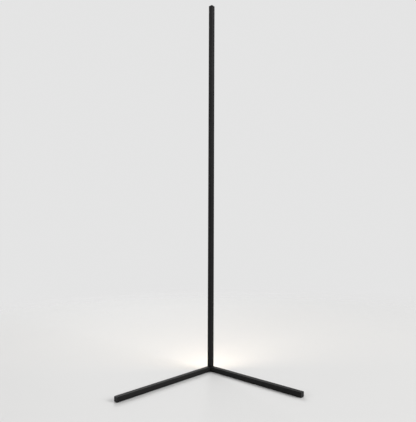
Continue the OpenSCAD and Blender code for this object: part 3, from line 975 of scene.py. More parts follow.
def dress(node: str, finish: Finish, edge: float) -> Piece:
    """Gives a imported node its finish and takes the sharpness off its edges.

    Args:
        node: the node's name.
        finish: its finish.
        edge: width of the rounding on its edges.

    Returns:
        The node's object.
    """
    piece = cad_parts[node]
    for material_slot in piece.material_slots:
        material_slot.material = finish.material()
    soften(piece, edge, weld=True)
    return piece


@dataclass(frozen=True)
class Screw:
    """A screw with a hex socket, which stands on its point.

    Attributes:
        style: shape of its head.
        diameter: outer diameter of the thread.
        length: from the point to the thread's end, or to the top of a countersunk head.
        pitch: rise of the thread in one turn.
        socket: distance across the flats of the hex socket.
        point_radius: radius of the flat at the point.
        head_radius: radius of the head.
        head_height: height of a cylinder head above the shank's length.
        POINTS: points in each ring.
        RIM: chamfer round the head.
        DEPTH: depth of the hex socket, and as the next three a share of its width.
        MOUTH: chamfer round the socket's mouth.
        TIP_RADIUS: radius of the flat tip of the drilled hollow in the socket's floor.
        TIP_DEPTH: depth of this hollow.
    """

    style: HeadStyle
    diameter: float
    length: float
    pitch: float
    socket: float
    point_radius: float
    head_radius: float = 0.0
    head_height: float = 0.0

    POINTS = 24
    RIM = 0.12 * MM
    DEPTH = 0.9
    MOUTH = 0.1
    TIP_RADIUS = 0.12
    TIP_DEPTH = 0.2

    def rings(self) -> list[Ring]:
        """Makes the rings of the whole screw.

        Returns:
            The rings from the point, over the head and down to the socket's floor.
        """
        radius = self.diameter / 2
        top = self.length + self.head_height
        if self.style is HeadStyle.GRUB:
            head = [(radius - self.RIM, top)]
        elif self.style is HeadStyle.COUNTERSUNK:
            cone = self.head_radius - radius
            head = [
                (radius, top - cone), (self.head_radius, top - self.RIM), (self.head_radius - self.RIM, top),
            ]
        else:
            edge = self.head_radius - self.RIM
            head = [
                (radius, self.length), (edge, self.length), (self.head_radius, self.length + self.RIM),
                (self.head_radius, top - 2 * self.RIM), (edge - self.RIM, top),
            ]
        point_height = radius - self.point_radius
        thread_end = head[0][1] - self.RIM
        rings = turned_rings([(self.point_radius, 0.0)], self.POINTS)
        rings += threaded(radius, self.pitch, point_height, thread_end, self.POINTS)
        rings += turned_rings(head, self.POINTS)
        mouth = (1 + self.MOUTH) * self.socket
        floor = top - self.DEPTH * self.socket
        levels = ((mouth, top), (self.socket, top - self.MOUTH * self.socket), (self.socket, floor))
        rings += [level(hexagon(across, self.POINTS), height) for across, height in levels]
        tip = (self.TIP_RADIUS * self.socket, floor - self.TIP_DEPTH * self.socket)
        return rings + turned_rings([tip], self.POINTS)


# ---- Sub-assemblies ----


class SubAssembly(ABC):
    """Pieces of the lamp that are built and dressed together."""

    @abstractmethod
    def build(self) -> list[Piece]:
        """Builds and dresses the pieces, and gives them."""


@dataclass
class Base(SubAssembly):
    """The corner block, the two legs with their caps and screws, and the foot pads.

    Attributes:
        tube_wall: wall thickness of the leg tubes.
        tube_corner: rounding along the tubes' outer edges.
        plug_gap: gap between a cap's plug and the tube.
        plug_wall: wall thickness of the plug.
        plug_length: length of the plug.
        plug_corner: rounding along the plug's edges.
        plug_sunk: how far the plug reaches into the plate.
        tip_taper: length of the plug's tapered tip, and how much narrower its end is.
        tip_corner: rounding of the tip's end.
        rib_width: width of the crush ribs on the plug.
        rib_height: how far these ribs stand out.
        plate: thickness of a leg cap's plate.
        plate_edge: rounding round the plate's outer face.
        cap_seam: chamfer where the plate meets the tube, which makes the joint a fine line.
        crown: how far the plate's middle stands above its rim.
        crown_rings: where rings draw the crown, as shares of the way from the middle to the rim.
        edge: softness of the edges of block and tubes.
        pad_groove: depth of the grooves in a pad's underside.
        pad_edge: chamfer round a pad's upper edge.
        screw: the screws that hold the legs.
        PAD_GROOVES: inner and outer radius of each groove, as shares of the pad's radius.
        PAD_TREADS: the same for the rings of tread, which stand on the floor.
        PAD_FLANK: points round the pad's lower edge, each with its share of the radius and its height.
    """

    tube_wall: float = 1.5 * MM
    tube_corner: float = 0.8 * MM
    plug_gap: float = 0.1 * MM
    plug_wall: float = 1.6 * MM
    plug_length: float = 12 * MM
    plug_corner: float = 0.5 * MM
    plug_sunk: float = 0.4 * MM
    tip_taper: float = 0.8 * MM
    tip_corner: float = 0.3 * MM
    rib_width: float = 0.7 * MM
    rib_height: float = 0.09 * MM
    plate: float = 2 * MM
    plate_edge: float = 0.5 * MM
    cap_seam: float = 0.15 * MM
    crown: float = 0.12 * MM
    crown_rings: tuple[float, ...] = (0.7, 0.4, 0.1)
    edge: float = 0.15 * MM
    pad_groove: float = 0.25 * MM
    pad_edge: float = 0.1 * MM
    screw: Screw = Screw(
        HeadStyle.COUNTERSUNK, 3 * MM, 8 * MM, 0.5 * MM, 2 * MM, 1.2 * MM, head_radius=2.9 * MM,
    )

    PAD_GROOVES = ((0.16, 0.34), (0.60, 0.68))
    PAD_TREADS = ((0.40, 0.56), (0.72, 0.90))
    PAD_FLANK = ((0.945, 0.1 * MM), (0.98, 0.25 * MM), (1.0, 0.42 * MM))

    def build(self) -> list[Piece]:
        """Builds the base.

        Returns:
            Its pieces.
        """
        pieces = [dress("corner_block", COATED_CASTING, self.edge), self.leg_screws(), self.pad("corner")]
        for side in Side:
            pieces.append(dress("leg_" + side.word, COATED_STEEL, self.edge))
            pieces.append(self.leg_cap(side))
            pieces.append(self.pad(side.word))
        return pieces

    def leg_cap(self, side: Side) -> Piece:
        """Moulds one leg's end cap: a crowned plate on a hollow plug with crush ribs.

        Args:
            side: the leg that it closes.

        Returns:
            The cap.
        """
        node = "leg_cap_" + side.word
        direction = Matrix.Rotation(math.radians(side.value), 4, "Z")
        corners = [direction.inverted() @ vertex.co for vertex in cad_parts[node].data.vertices]
        plate_start = max(corner.x for corner in corners) - self.plate
        upright = Matrix.Rotation(math.pi / 2, 4, "Y") @ Matrix.Rotation(math.pi / 2, 4, "Z")
        place = direction @ Matrix.Translation((plate_start, 0.0, Box.of(node).centre.z)) @ upright
        work = Workpiece(node + "_moulding", MOULDED)
        rings = [self._cap_ring(self.cap_seam, 0.0), self._cap_ring(0.0, self.cap_seam)]
        steps = 4
        for i in range(steps + 1):
            turn = math.pi / 2 * i / steps
            height = self.plate - self.crown - self.plate_edge * (1 - math.sin(turn))
            rings.append(self._cap_ring(self.plate_edge * (1 - math.cos(turn)), height))
        flat = SQUARE_SIDE / 2 - self.plate_edge
        for share in self.crown_rings:
            rings.append(self._cap_ring(SQUARE_SIDE / 2 - flat * share, self.plate - self.crown * share ** 2))
        work.skin(rings, place)
        self._plug(work, place)
        return work.finished(node)

    def _cap_ring(self, inset: float, height: float) -> Ring:
        """A ring of a leg cap's plate, drawn in from the tube's outline, at a height."""
        side = SQUARE_SIDE - 2 * inset
        return square_ring(side, self.tube_corner * side / SQUARE_SIDE, height)

    def _plug(self, work: Workpiece, place: Matrix) -> None:
        """Adds the hollow plug and its crush ribs to a leg cap.

        Args:
            work: the cap in the making.
            place: the place of its plate's inner face.
        """
        outer = SQUARE_SIDE - 2 * self.tube_wall - 2 * self.plug_gap
        inner = outer - 2 * self.plug_wall
        rings = [
            square_ring(outer - self.tip_taper, self.tip_corner, -self.plug_length),
            square_ring(outer, self.plug_corner, -self.plug_length + self.tip_taper),
            square_ring(outer, self.plug_corner, self.plug_sunk),
            square_ring(inner, self.plug_corner, self.plug_sunk),
            square_ring(inner, self.plug_corner, -self.plug_length),
        ]
        work.skin(rings, place, joined=True)
        rib = [(-self.rib_width / 2, 0.0), (self.rib_width / 2, 0.0), (0.0, self.rib_height)]
        for turn in range(4):
            side = Matrix.Rotation(turn * math.pi / 2, 4, "Z")
            for offset in (-outer / 4, outer / 4):
                spot = side @ Matrix.Translation((offset, outer / 2, 0.0))
                work.prism(rib, -self.plug_length + 2 * self.tip_taper, 0.0, place @ spot)

    def pad(self, word: str) -> Piece:
        """Moulds one rubber foot pad with grooves in its underside.

        Args:
            word: where it sits, as in the node's name.

        Returns:
            The pad.
        """
        node = "foot_pad_" + word
        box = Box.of(node)
        radius = box.size.x / 2
        profile = []
        for groove, tread in zip(self.PAD_GROOVES, self.PAD_TREADS):
            profile += [(share * radius, self.pad_groove) for share in groove]
            profile += [(share * radius, 0.0) for share in tread]
        profile += [(share * radius, height) for share, height in self.PAD_FLANK]
        profile += [(radius, box.size.z - self.pad_edge), (radius - self.pad_edge, box.size.z)]
        work = Workpiece(node + "_moulding", RUBBER)
        work.turned(profile, Matrix.Translation((box.centre.x, box.centre.y, box.low.z)))
        return work.finished(node)

    def leg_screws(self) -> Piece:
        """Turns the countersunk screws that hold the legs on the block's spigots.

        Returns:
            The screws as one piece.
        """
        work = Workpiece("leg_screws_threaded", SCREW_STEEL)
        flip = Matrix.Rotation(math.pi, 4, "X")
        for box in solids_of("leg_screws"):
            work.skin(self.screw.rings(), Matrix.Translation((box.centre.x, box.centre.y, box.high.z)) @ flip)
        return work.finished("leg_screws")


@dataclass
class Pole(SubAssembly):
    """The three pole sections, the splice bars and screws inside them, and the top cap.

    Attributes:
        edge: softness of the profile's edges, which makes the joints fine dark lines.
        bar_edge: softness of the splice bars' edges.
        cap_edge: rounding of the top cap's plate.
        outline_corner: rounding of the profile's outer corners.
        ridge_land: distance from the front ridge to the chamber behind it.
        wall: thickness of the profile's two outer walls.
        web_depth: distance from the front ridge to the inner web.
        plug_gap: gap round the top cap's plug.
        plug_sunk: how far the plug reaches into the plate.
        grub: the grub screws of splices and key.
    """

    edge: float = 0.12 * MM
    bar_edge: float = 0.3 * MM
    cap_edge: float = 0.35 * MM
    outline_corner: float = 0.4 * MM
    ridge_land: float = 3 * MM
    wall: float = 1.4 * MM
    web_depth: float = 8 * MM
    plug_gap: float = 0.1 * MM
    plug_sunk: float = 0.3 * MM
    grub: Screw = Screw(HeadStyle.GRUB, 3 * MM, 4 * MM, 0.5 * MM, 1.5 * MM, 0.92 * MM)

    def build(self) -> list[Piece]:
        """Builds the pole.

        Returns:
            Its pieces.
        """
        pieces = [dress("pole_" + name, ANODISED, self.edge) for name in ("lower", "middle", "upper")]
        pieces += [dress("splice_" + name, ZINC, self.bar_edge) for name in ("lower", "upper")]
        pieces += [self.grub_screws(node) for node in ("splice_screws", "key_screws")]
        pieces.append(self.top_cap())
        return pieces

    def grub_screws(self, node: str) -> Piece:
        """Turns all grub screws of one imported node.

        Args:
            node: the node's name.

        Returns:
            The screws as one piece.
        """
        work = Workpiece(node + "_threaded", SCREW_STEEL)
        for box in solids_of(node):
            work.skin(self.grub.rings(), box.from_front)
        return work.finished(node)

    def top_cap(self) -> Piece:
        """Moulds the top cap: a plate that covers profile and diffuser, on a plug in the profile's chamber.

        Returns:
            The cap.
        """
        box = Box.of("top_cap")
        section_top = Box.of("pole_upper").high.z
        corner = self.outline_corner
        far = SQUARE_SIDE - corner
        corner_steps, dome_steps = 4, 28
        outline = arc((corner, corner), corner, 180, 270, corner_steps)
        outline += arc((far, corner), corner, 270, 360, corner_steps)
        outline += arc((DOME_START, DOME_START), SQUARE_SIDE - DOME_START, 0, 90, dome_steps)
        outline += arc((corner, far), corner, 90, 180, corner_steps)
        work = Workpiece("top_cap_moulding", MOULDED)
        work.prism(on_flats(outline), section_top, box.high.z)
        work.prism(self._plug_outline(), box.low.z, section_top + self.plug_sunk)
        return work.finished("top_cap", edge=self.cap_edge)

    def _plug_outline(self) -> list[Point]:
        """Draws the plug's section, with a round notch in its rear.

        Returns:
            The outline's points.
        """
        front = self.ridge_land + self.plug_gap
        notch = (self.web_depth - self.ridge_land) / 2
        notch_steps = 14

        def half(depth: float) -> float:
            """Half the width between the outer walls at a depth, less the gap."""
            return depth - (self.wall + self.plug_gap) * math.sqrt(2)

        points = [(-half(front), front), (half(front), front), (half(self.web_depth), self.web_depth)]
        points += arc((0.0, self.web_depth), notch, 0, -180, notch_steps)
        points.append((-half(self.web_depth), self.web_depth))
        return [(x, RIDGE_Y + depth) for x, depth in points]


@dataclass
class LightEngine(SubAssembly):
    """The opal diffuser and the tape behind it, with its chips, resistors and solder pads.

    Attributes:
        wall: wall thickness of the diffuser.
        lip: thickness of the profile's lips that the diffuser's feet stand behind.
        gap: gap between diffuser and lips.
        foot_low: distance from the outer flats to the feet's ends.
        hook: reach of the feet's bulbs under the ribs.
        bulb: thickness of these bulbs.
        edge: softness of the diffuser's edges.
        tape_edge: rounding of the tape's edges.
        chips_per_cut: chips between two cut marks of the tape.
        mark_width: width of a cut mark.
        mark_margin: distance from its ends to the tape's edges.
        mark_edge: rounding of its edges.
        pad_width: width of the tape's solder pads.
        pad_length: their length along the tape.
        pad_corner: rounding of their corners.
        print_height: how far pads stand above the tape, and cut marks half as far.
        print_sunk: how far they reach into it.
        mound: radius and height of the points that draw the solder under a lead's end.
        lead_radius: radius of the leads that end on the tape.
        chip_corner: rounding of a chip housing's corners.
        chip_lift: gap under the housing.
        chip_draft: how far its sides lean in.
        chip_rim: width of the rim round its window.
        window_corner: rounding of the window's corners.
        window_depth: depth of the window's floor under the rim.
        floor_corner: rounding of this floor's corners.
        terminal_length: length of a chip's terminals along the tape.
        terminal_height: height of the terminals.
        terminal_out: how far they stand out from the housing's ends.
        terminal_edge: rounding of their edges.
        end_cap: length of a resistor's tinned end caps.
        tin: thickness of the tin, by which the caps stand proud of the body.
        glaze_height: height of the dark glass on a resistor's body.
        glaze_low: how far the glass stays below the caps' tops.
        glaze_gap: gap between the glass and the caps.
        CORNER_STEPS: straight pieces in each round corner of pads and chips.
        MOUND_POINTS: points in each ring of a mound of solder.
        PAD_ACROSS: distance of a pad's middle from the tape's middle, as a share of the tape's width.
        PAD_AWAY: distance of its middle from the cut mark, as a share of its length.
        LEAN_START: where a housing's sides start to lean in, as a share of its height.
        FLOOR_RIM: width of the rim at the window's floor, as a share of its width at the top.
        TERMINAL_SHARE: width of a terminal as a share of its chip's.
    """

    wall: float = 1.3 * MM
    lip: float = 0.8 * MM
    gap: float = 0.1 * MM
    foot_low: float = 1.5 * MM
    hook: float = 0.5 * MM
    bulb: float = 0.6 * MM
    edge: float = 0.12 * MM
    tape_edge: float = 0.08 * MM
    chips_per_cut: int = 3
    mark_width: float = 0.16 * MM
    mark_margin: float = 0.3 * MM
    mark_edge: float = 0.01 * MM
    pad_width: float = 1.8 * MM
    pad_length: float = 2.2 * MM
    pad_corner: float = 0.5 * MM
    print_height: float = 0.03 * MM
    print_sunk: float = 0.02 * MM
    mound: tuple[Point, ...] = ((0.8 * MM, 0.02 * MM), (0.62 * MM, 0.25 * MM), (0.45 * MM, 0.6 * MM))
    lead_radius: float = 0.65 * MM
    chip_corner: float = 0.12 * MM
    chip_lift: float = 0.02 * MM
    chip_draft: float = 0.05 * MM
    chip_rim: float = 0.45 * MM
    window_corner: float = 0.5 * MM
    window_depth: float = 0.08 * MM
    floor_corner: float = 0.45 * MM
    terminal_length: float = 0.6 * MM
    terminal_height: float = 0.15 * MM
    terminal_out: float = 0.1 * MM
    terminal_edge: float = 0.02 * MM
    end_cap: float = 0.36 * MM
    tin: float = 0.02 * MM
    glaze_height: float = 0.07 * MM
    glaze_low: float = 0.01 * MM
    glaze_gap: float = 0.036 * MM

    CORNER_STEPS = 4
    MOUND_POINTS = 20
    PAD_ACROSS = 0.32
    PAD_AWAY = 0.62
    LEAN_START = 0.4
    FLOOR_RIM = 1.15
    TERMINAL_SHARE = 0.75

    def build(self) -> list[Piece]:
        """Builds the light engine."""
        return [self.diffuser(), self.tape(), self.chips(), self.resistors()]

    def diffuser(self) -> Piece:
        """Extrudes the diffuser: a quarter-round dome on two snap feet.

        Returns:
            The diffuser.
        """
        box = Box.of("diffuser")
        outer = SQUARE_SIDE - self.lip - self.gap
        inner = outer - self.wall
        low = self.foot_low
        bulb_end = inner - self.hook
        bulb_top = low + self.bulb
        centre = (DOME_START, DOME_START)
        outer_steps, inner_steps = 40, 36
        outline = [(outer, low)]
        outline += arc(centre, outer - DOME_START, 0, 90, outer_steps)
        outline += [(low, outer), (low, bulb_end), (bulb_top, bulb_end), (bulb_top, inner)]
        outline += arc(centre, inner - DOME_START, 90, 0, inner_steps)
        outline += [(inner, bulb_top), (bulb_end, bulb_top), (bulb_end, low)]
        work = Workpiece("diffuser_extrusion", OPAL)
        work.prism(on_flats(outline), box.low.z, box.high.z)
        return work.finished("diffuser", edge=self.edge)

    def tape(self) -> Piece:
        """Prints the tape: a white strip with cut marks between pads, and solder where the leads end.

        Returns:
            The tape.
        """
        box = Box.of("led_tape")
        work = Workpiece("led_tape_printed", SOLDER_MASK, TINNED_COPPER, CUT_MARK_INK, SOLDER)
        foot = Matrix.Translation((box.centre.x, box.centre.y, box.low.z))
        work.block(box.size, self.tape_edge, foot, steps=2)
        surface = box.high.y - self.print_sunk
        mark_height = self.print_sunk + self.print_height / 2
        mark = Vector((box.size.x - 2 * self.mark_margin, self.mark_width, mark_height))
        cut = LED_BOXES[0].centre.z - LED_PITCH / 2
        while cut < box.high.z - self.pad_length:
            work.block(mark, self.mark_edge, to_rear(0.0, surface, cut), CUT_MARK_INK)
            for across in (-self.PAD_ACROSS, self.PAD_ACROSS):
                for away in (-self.PAD_AWAY, self.PAD_AWAY):
                    self._pad(work, to_rear(across * box.size.x, surface, cut + away * self.pad_length))
            cut += self.chips_per_cut * LED_PITCH
        positive, negative = Box.of("lead_positive"), Box.of("lead_negative")
        landings = (
            (positive, positive.low.x + self.lead_radius),
            (negative, negative.high.x - self.lead_radius),
        )
        for lead, middle in landings:
            spot = to_rear(middle, surface, lead.high.z - self.pad_length / 3)
            self._pad(work, spot)
            work.turned(self.mound, spot, self.MOUND_POINTS, SOLDER)
        return work.finished("led_tape")

    def _pad(self, work: Workpiece, place: Matrix) -> None:
        """Adds one tinned pad at a place on the tape."""
        pad = rounded_rectangle(self.pad_width, self.pad_length, self.pad_corner, self.CORNER_STEPS)
        work.skin([level(pad, 0.0), level(pad, self.print_sunk + self.print_height)], place, TINNED_COPPER)

    def chips(self) -> Piece:
        """Mounts the LED chips: white housings with a glowing window and tinned ends.

        Returns:
            The chips as one piece.
        """
        work = Workpiece("led_chips_mounted", PHOSPHOR, CHIP_HOUSING, TINNED_COPPER)
        for box in LED_BOXES:
            width, height, length = box.size.x, box.size.y, box.size.z - 2 * self.terminal_out
            insets_corners_heights = (
                (0.0, self.chip_corner, self.chip_lift),
                (0.0, self.chip_corner, self.LEAN_START * height),
                (self.chip_draft, self.chip_corner, height),
                (self.chip_rim, self.window_corner, height),
                (self.FLOOR_RIM * self.chip_rim, self.floor_corner, height - self.window_depth),
            )
            rings = []
            for inset, corner, rise in insets_corners_heights:
                outline = rounded_rectangle(width - 2 * inset, length - 2 * inset, corner, self.CORNER_STEPS)
                rings.append(level(outline, rise))
            work.skin(rings, box.from_front, CHIP_HOUSING, end_finish=PHOSPHOR)
            terminal = Vector((self.TERMINAL_SHARE * width, self.terminal_length, self.terminal_height))
            for end in (-1, 1):
                spot = Matrix.Translation((0.0, end * (box.size.z - self.terminal_length) / 2, 0.0))
                work.block(terminal, self.terminal_edge, box.from_front @ spot, TINNED_COPPER)
        return work.finished("led_chips")

    def resistors(self) -> Piece:
        """Mounts the resistors: ceramic bodies under dark glass, with tinned ends.

        Returns:
            The resistors as one piece.
        """
        work = Workpiece("led_resistors_mounted", RESISTOR_GLASS, RESISTOR_CERAMIC, TINNED_COPPER)
        for box in solids_of("led_resistors"):
            place = box.from_front
            width, height, length = box.size.x, box.size.y, box.size.z
            body = Vector((width - 2 * self.tin, length - 2 * self.tin, height - 2 * self.tin))
            work.block(body, self.tin, place, RESISTOR_CERAMIC)
            glaze_length = length - 2 * (self.end_cap + self.glaze_gap)
            glaze = Vector((width - 3 * self.tin, glaze_length, self.glaze_height))
            lift = Matrix.Translation((0.0, 0.0, height - self.glaze_low - self.glaze_height))
            work.block(glaze, self.tin, place @ lift, RESISTOR_GLASS)
            for end in (-1, 1):
                spot = Matrix.Translation((0.0, end * (length - self.end_cap) / 2, 0.0))
                work.block(Vector((width, self.end_cap, height)), 2 * self.tin, place @ spot, TINNED_COPPER)
        return work.finished("led_resistors")


@dataclass(frozen=True)
class Route:
    """A smooth curve that leaves its lower end and reaches its upper end upright.

    Attributes:
        lower: the lower end.
        upper: the upper end.
    """

    lower: Vector
    upper: Vector

    def at(self, share: float) -> Vector:
        """Finds a point on the curve.

        Args:
            share: how much of the way up the point is.

        Returns:
            The point.
        """
        inside = min(max(share, 0.0), 1.0)
        eased = inside * inside * (3 - 2 * inside)
        across = self.lower.lerp(self.upper, eased)
        return Vector((across.x, across.y, self.lower.z + (self.upper.z - self.lower.z) * share))


@dataclass
class Lead:
    """One insulated lead from a socket tag to a pad on the tape.

    Attributes:
        word: which lead it is, as in the node's name.
        finish: finish of its insulation.
        strands_radius: radius of its copper strands.
        bare: length of the strands that each end lays bare.
        RINGS: rings along each tube.
        POINTS: points in each ring.
        STRANDS: where the strands start and end, as shares of the route.
        END_TAPER: share of its radius that a tube loses at each end.
        AHEAD: share of the route by which a tube looks ahead and back for its direction.
        BLOB: outline of the solder at each end, as shares of the lead's radius and of the bare length.
    """

    word: str
    finish: Finish
    strands_radius: float = 0.4 * MM
    bare: float = 1.4 * MM

    RINGS = 28
    POINTS = 16
    STRANDS = (0.02, 0.98)
    END_TAPER = 0.25
    AHEAD = 0.01
    BLOB = ((0.3, -0.5), (0.8, -0.3), (0.98, 0.0), (0.8, 0.3), (0.5, 0.5))

    def build(self) -> Piece:
        """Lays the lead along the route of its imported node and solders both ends.

        Returns:
            The lead.
        """
        node = "lead_" + self.word
        route, radius = self._packed_route(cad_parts[node])
        work = Workpiece(node + "_insulated", self.finish, SOLDER)
        bare_share = self.bare / (route.upper.z - route.lower.z)
        self._tube(work, route, (bare_share, 1 - bare_share), radius, self.finish)
        self._tube(work, route, self.STRANDS, self.strands_radius, SOLDER)
        blob = [(share * radius, height * self.bare) for share, height in self.BLOB]
        for end, inward in ((route.lower, 1), (route.upper, -1)):
            place = Matrix.Translation(end + Vector((0.0, 0.0, inward * self.bare / 2)))
            work.turned(blob, place, self.POINTS, SOLDER)
        return work.finished(node)

    @staticmethod
    def _packed_route(packed: Piece) -> tuple[Route, float]:
        """Finds where a packed lead starts and ends.

        Args:
            packed: the lead's packed object.

        Returns:
            The route between the middles of its ends, and its radius.
        """
        points = [vertex.co for vertex in packed.data.vertices]
        ends = []
        for height in (min(p.z for p in points), max(p.z for p in points)):
            ring = [p for p in points if abs(p.z - height) < WELD_DISTANCE]
            low, high = Vector(map(min, *ring)), Vector(map(max, *ring))
            ends.append((low + high) / 2)
            radius = (high.x - low.x) / 2
        return Route(*ends), radius

    def _tube(self, work: Workpiece, route: Route, span: Point, radius: float, finish: Finish) -> None:
        """Sweeps a round tube along part of the route.

        Args:
            work: the piece that it goes on.
            route: the lead's route.
            span: first and last share of the route.
            radius: the tube's radius.
            finish: its finish.
        """
        rings = []
        for i in range(self.RINGS + 1):
            share = span[0] + (span[1] - span[0]) * i / self.RINGS
            ahead = route.at(share + self.AHEAD) - route.at(share - self.AHEAD)
            place = Matrix.Translation(route.at(share)) @ ahead.to_track_quat("Z", "X").to_matrix().to_4x4()
            taper = 1 - self.END_TAPER if i in (0, self.RINGS) else 1.0
            rings.append([place @ point for point in level(circle(radius * taper, self.POINTS), 0.0)])
        work.skin(rings, finish=finish)


@dataclass
class PowerInlet(SubAssembly):
    """The rear cover with the low-voltage socket and the two leads inside it.

    Attributes:
        cover_wall: wall thickness of the rear cover.
        cover_edge: softness of the cover's edges.
        socket_edge: rounding of the socket's edges.
        neck_radius: outer radius of the socket's threaded neck.
        thread_pitch: pitch of the neck's fine thread.
        bore_radius: radius of the socket's bore.
        bore_depth: depth of the bore.
        pin_edge: height of the chamfer at the pin's foot.
        nut_hex: distance across the nut's flats.
        nut_gap: gap between the nut's bore and the neck.
        nut_edge: chamfer at both ends of the nut's bore.
        nut_slope: slope of the chamfers that cut the nut's corners.
        tag_hole: diameter of the solder hole in each tag.
        tag_edge: softness of the tags' edges.
        screw: the rear cover's screw.
        SOCKET_POINTS: points in each ring of the socket's body.
        NUT_POINTS: points in each ring of the nut.
        PIN_POINTS: points in each ring of the pin.
        PIN_ROUND: radius of the pin's foot and of the rounding of its tip, as a share of the pin's radius.
        PIN_TIP_TURN: how far this rounding turns before the tip's small flat, in degrees.
        PIN_GROOVE: outline of the pin's groove, as shares of the pin's radius and of its length.
        NUT_ROUND: radius of the circle that cuts the nut's corners, as a share of the distance across flats.
    """

    cover_wall: float = 1.5 * MM
    cover_edge: float = 0.2 * MM
    socket_edge: float = 0.25 * MM
    neck_radius: float = 3.5 * MM
    thread_pitch: float = 0.5 * MM
    bore_radius: float = 2.8 * MM
    bore_depth: float = 9.5 * MM
    pin_edge: float = 0.15 * MM
    nut_hex: float = 8.8 * MM
    nut_gap: float = 0.05 * MM
    nut_edge: float = 0.2 * MM
    nut_slope: float = math.tan(math.radians(30))
    tag_hole: float = 1.1 * MM
    tag_edge: float = 0.05 * MM
    screw: Screw = Screw(
        HeadStyle.CYLINDER, 2.5 * MM, 11 * MM, 0.45 * MM, 1.5 * MM, 0.9 * MM,
        head_radius=2.3 * MM, head_height=1.6 * MM,
    )

    SOCKET_POINTS = 36
    NUT_POINTS = 48
    PIN_POINTS = 32
    PIN_ROUND = 0.8
    PIN_TIP_TURN = 84
    PIN_GROOVE = ((1.0, 0.2), (0.9, 0.22), (0.9, 0.24), (1.0, 0.26))
    NUT_ROUND = 0.52

    def build(self) -> list[Piece]:
        """Builds the power inlet.

        Returns:
            Its pieces.
        """
        pieces = [dress("rear_cover", MOULDED, self.cover_edge), self.cover_screw()]
        pieces += [self.socket_body(), self.socket_pin(), self.socket_nut()]
        pieces += [self.tag("socket_tag_" + word) for word in ("positive", "negative")]
        pieces += [Lead("positive", RED_INSULATION).build(), Lead("negative", BLACK_INSULATION).build()]
        return pieces

    def cover_screw(self) -> Piece:
        """Turns the screw that holds the cover's foot.

        Returns:
            The screw.
        """
        work = Workpiece("rear_cover_screw_threaded", SCREW_STEEL)
        work.skin(self.screw.rings(), Box.of("rear_cover_screw").from_front)
        return work.finished("rear_cover_screw")

    def socket_body(self) -> Piece:
        """Moulds the socket: a flanged body, a threaded neck and a bore with a rounded mouth.

        Returns:
            The socket's body.
        """
        box = Box.of("socket_body")
        total = box.size.y
        flange_radius = box.size.x / 2
        flange = Box.of("rear_cover").high.y - self.cover_wall - box.low.y
        soft = self.socket_edge
        rings = turned_rings([
            (flange_radius - soft, 0.0), (flange_radius, soft), (flange_radius, flange - soft / 2),
            (flange_radius - soft / 2, flange), (self.neck_radius, flange),
        ], self.SOCKET_POINTS)
        rings += threaded(self.neck_radius, self.thread_pitch, flange + soft, total - soft, self.SOCKET_POINTS)
        rings += turned_rings([
            (self.neck_radius - soft, total), (self.bore_radius + soft, total),
            (self.bore_radius, total - soft), (self.bore_radius, total - self.bore_depth),
        ], self.SOCKET_POINTS)
        work = Workpiece("socket_body_moulding", SOCKET_PLASTIC)
        work.skin(rings, box.from_front)
        return work.finished("socket_body")

    def socket_pin(self) -> Piece:
        """Turns the centre pin, with a round tip and a groove near the socket's floor.

        Returns:
            The pin.
        """
        box = Box.of("socket_pin")
        radius = box.size.x / 2
        length = box.size.y
        rounding = self.PIN_ROUND * radius
        tip_steps = 7
        profile = [(rounding, 0.0), (radius, self.pin_edge)]
        profile += [(share * radius, height * length) for share, height in self.PIN_GROOVE]
        profile += arc((radius - rounding, length - rounding), rounding, 0, self.PIN_TIP_TURN, tip_steps)
        work = Workpiece("socket_pin_turned", BRASS)
        work.turned(profile, box.from_front, self.PIN_POINTS)
        return work.finished("socket_pin")

    def socket_nut(self) -> Piece:
        """Turns the hex nut, with round chamfers that cut its corners, and sets it with a flat on each side.

        Returns:
            The nut.
        """
        box = Box.of("socket_nut")
        thickness = box.size.y
        bore = self.neck_radius + self.nut_gap
        soft = self.nut_edge
        full = hexagon(self.nut_hex, self.NUT_POINTS)
        cut = hexagon(self.nut_hex - soft / 2, self.NUT_POINTS, largest=self.NUT_ROUND * self.nut_hex)
        pairs = zip(full, cut)
        drops = [(math.hypot(*corner) - math.hypot(*inner)) * self.nut_slope for corner, inner in pairs]
        rings = [
            level(cut, 0.0),
            [Vector((x, y, drop)) for (x, y), drop in zip(full, drops)],
            [Vector((x, y, thickness - drop)) for (x, y), drop in zip(full, drops)],
            level(cut, thickness),
        ]
        rings += turned_rings([
            (bore + soft, thickness), (bore, thickness - soft), (bore, soft), (bore + soft, 0.0),
        ], self.NUT_POINTS)
        work = Workpiece("socket_nut_turned", NICKEL)
        work.skin(rings, box.from_front @ Matrix.Rotation(math.pi / 6, 4, "Z"), joined=True)
        return work.finished("socket_nut")

    def tag(self, node: str) -> Piece:
        """Stamps one solder tag: a strip with a round end and a solder hole.

        Args:
            node: the node's name.

        Returns:
            The tag.
        """
        box = Box.of(node)
        half = box.size.x / 2
        end_centre = box.size.z - half
        steps = 16
        outline = [(-half, 0.0), (half, 0.0)] + arc((0.0, end_centre), half, 0, 180, steps)
        hole = [(x, y + end_centre) for x, y in circle(self.tag_hole / 2, steps)]
        foot = Matrix.Translation((box.centre.x, box.high.y, box.low.z))
        place = foot @ Matrix.Rotation(math.pi / 2, 4, "X")
        work = Workpiece(node + "_stamped", NICKEL)
        work.prism(outline, 0.0, box.size.y, place, hole)
        return work.finished(node, edge=self.tag_edge)


# ---- Studio ----


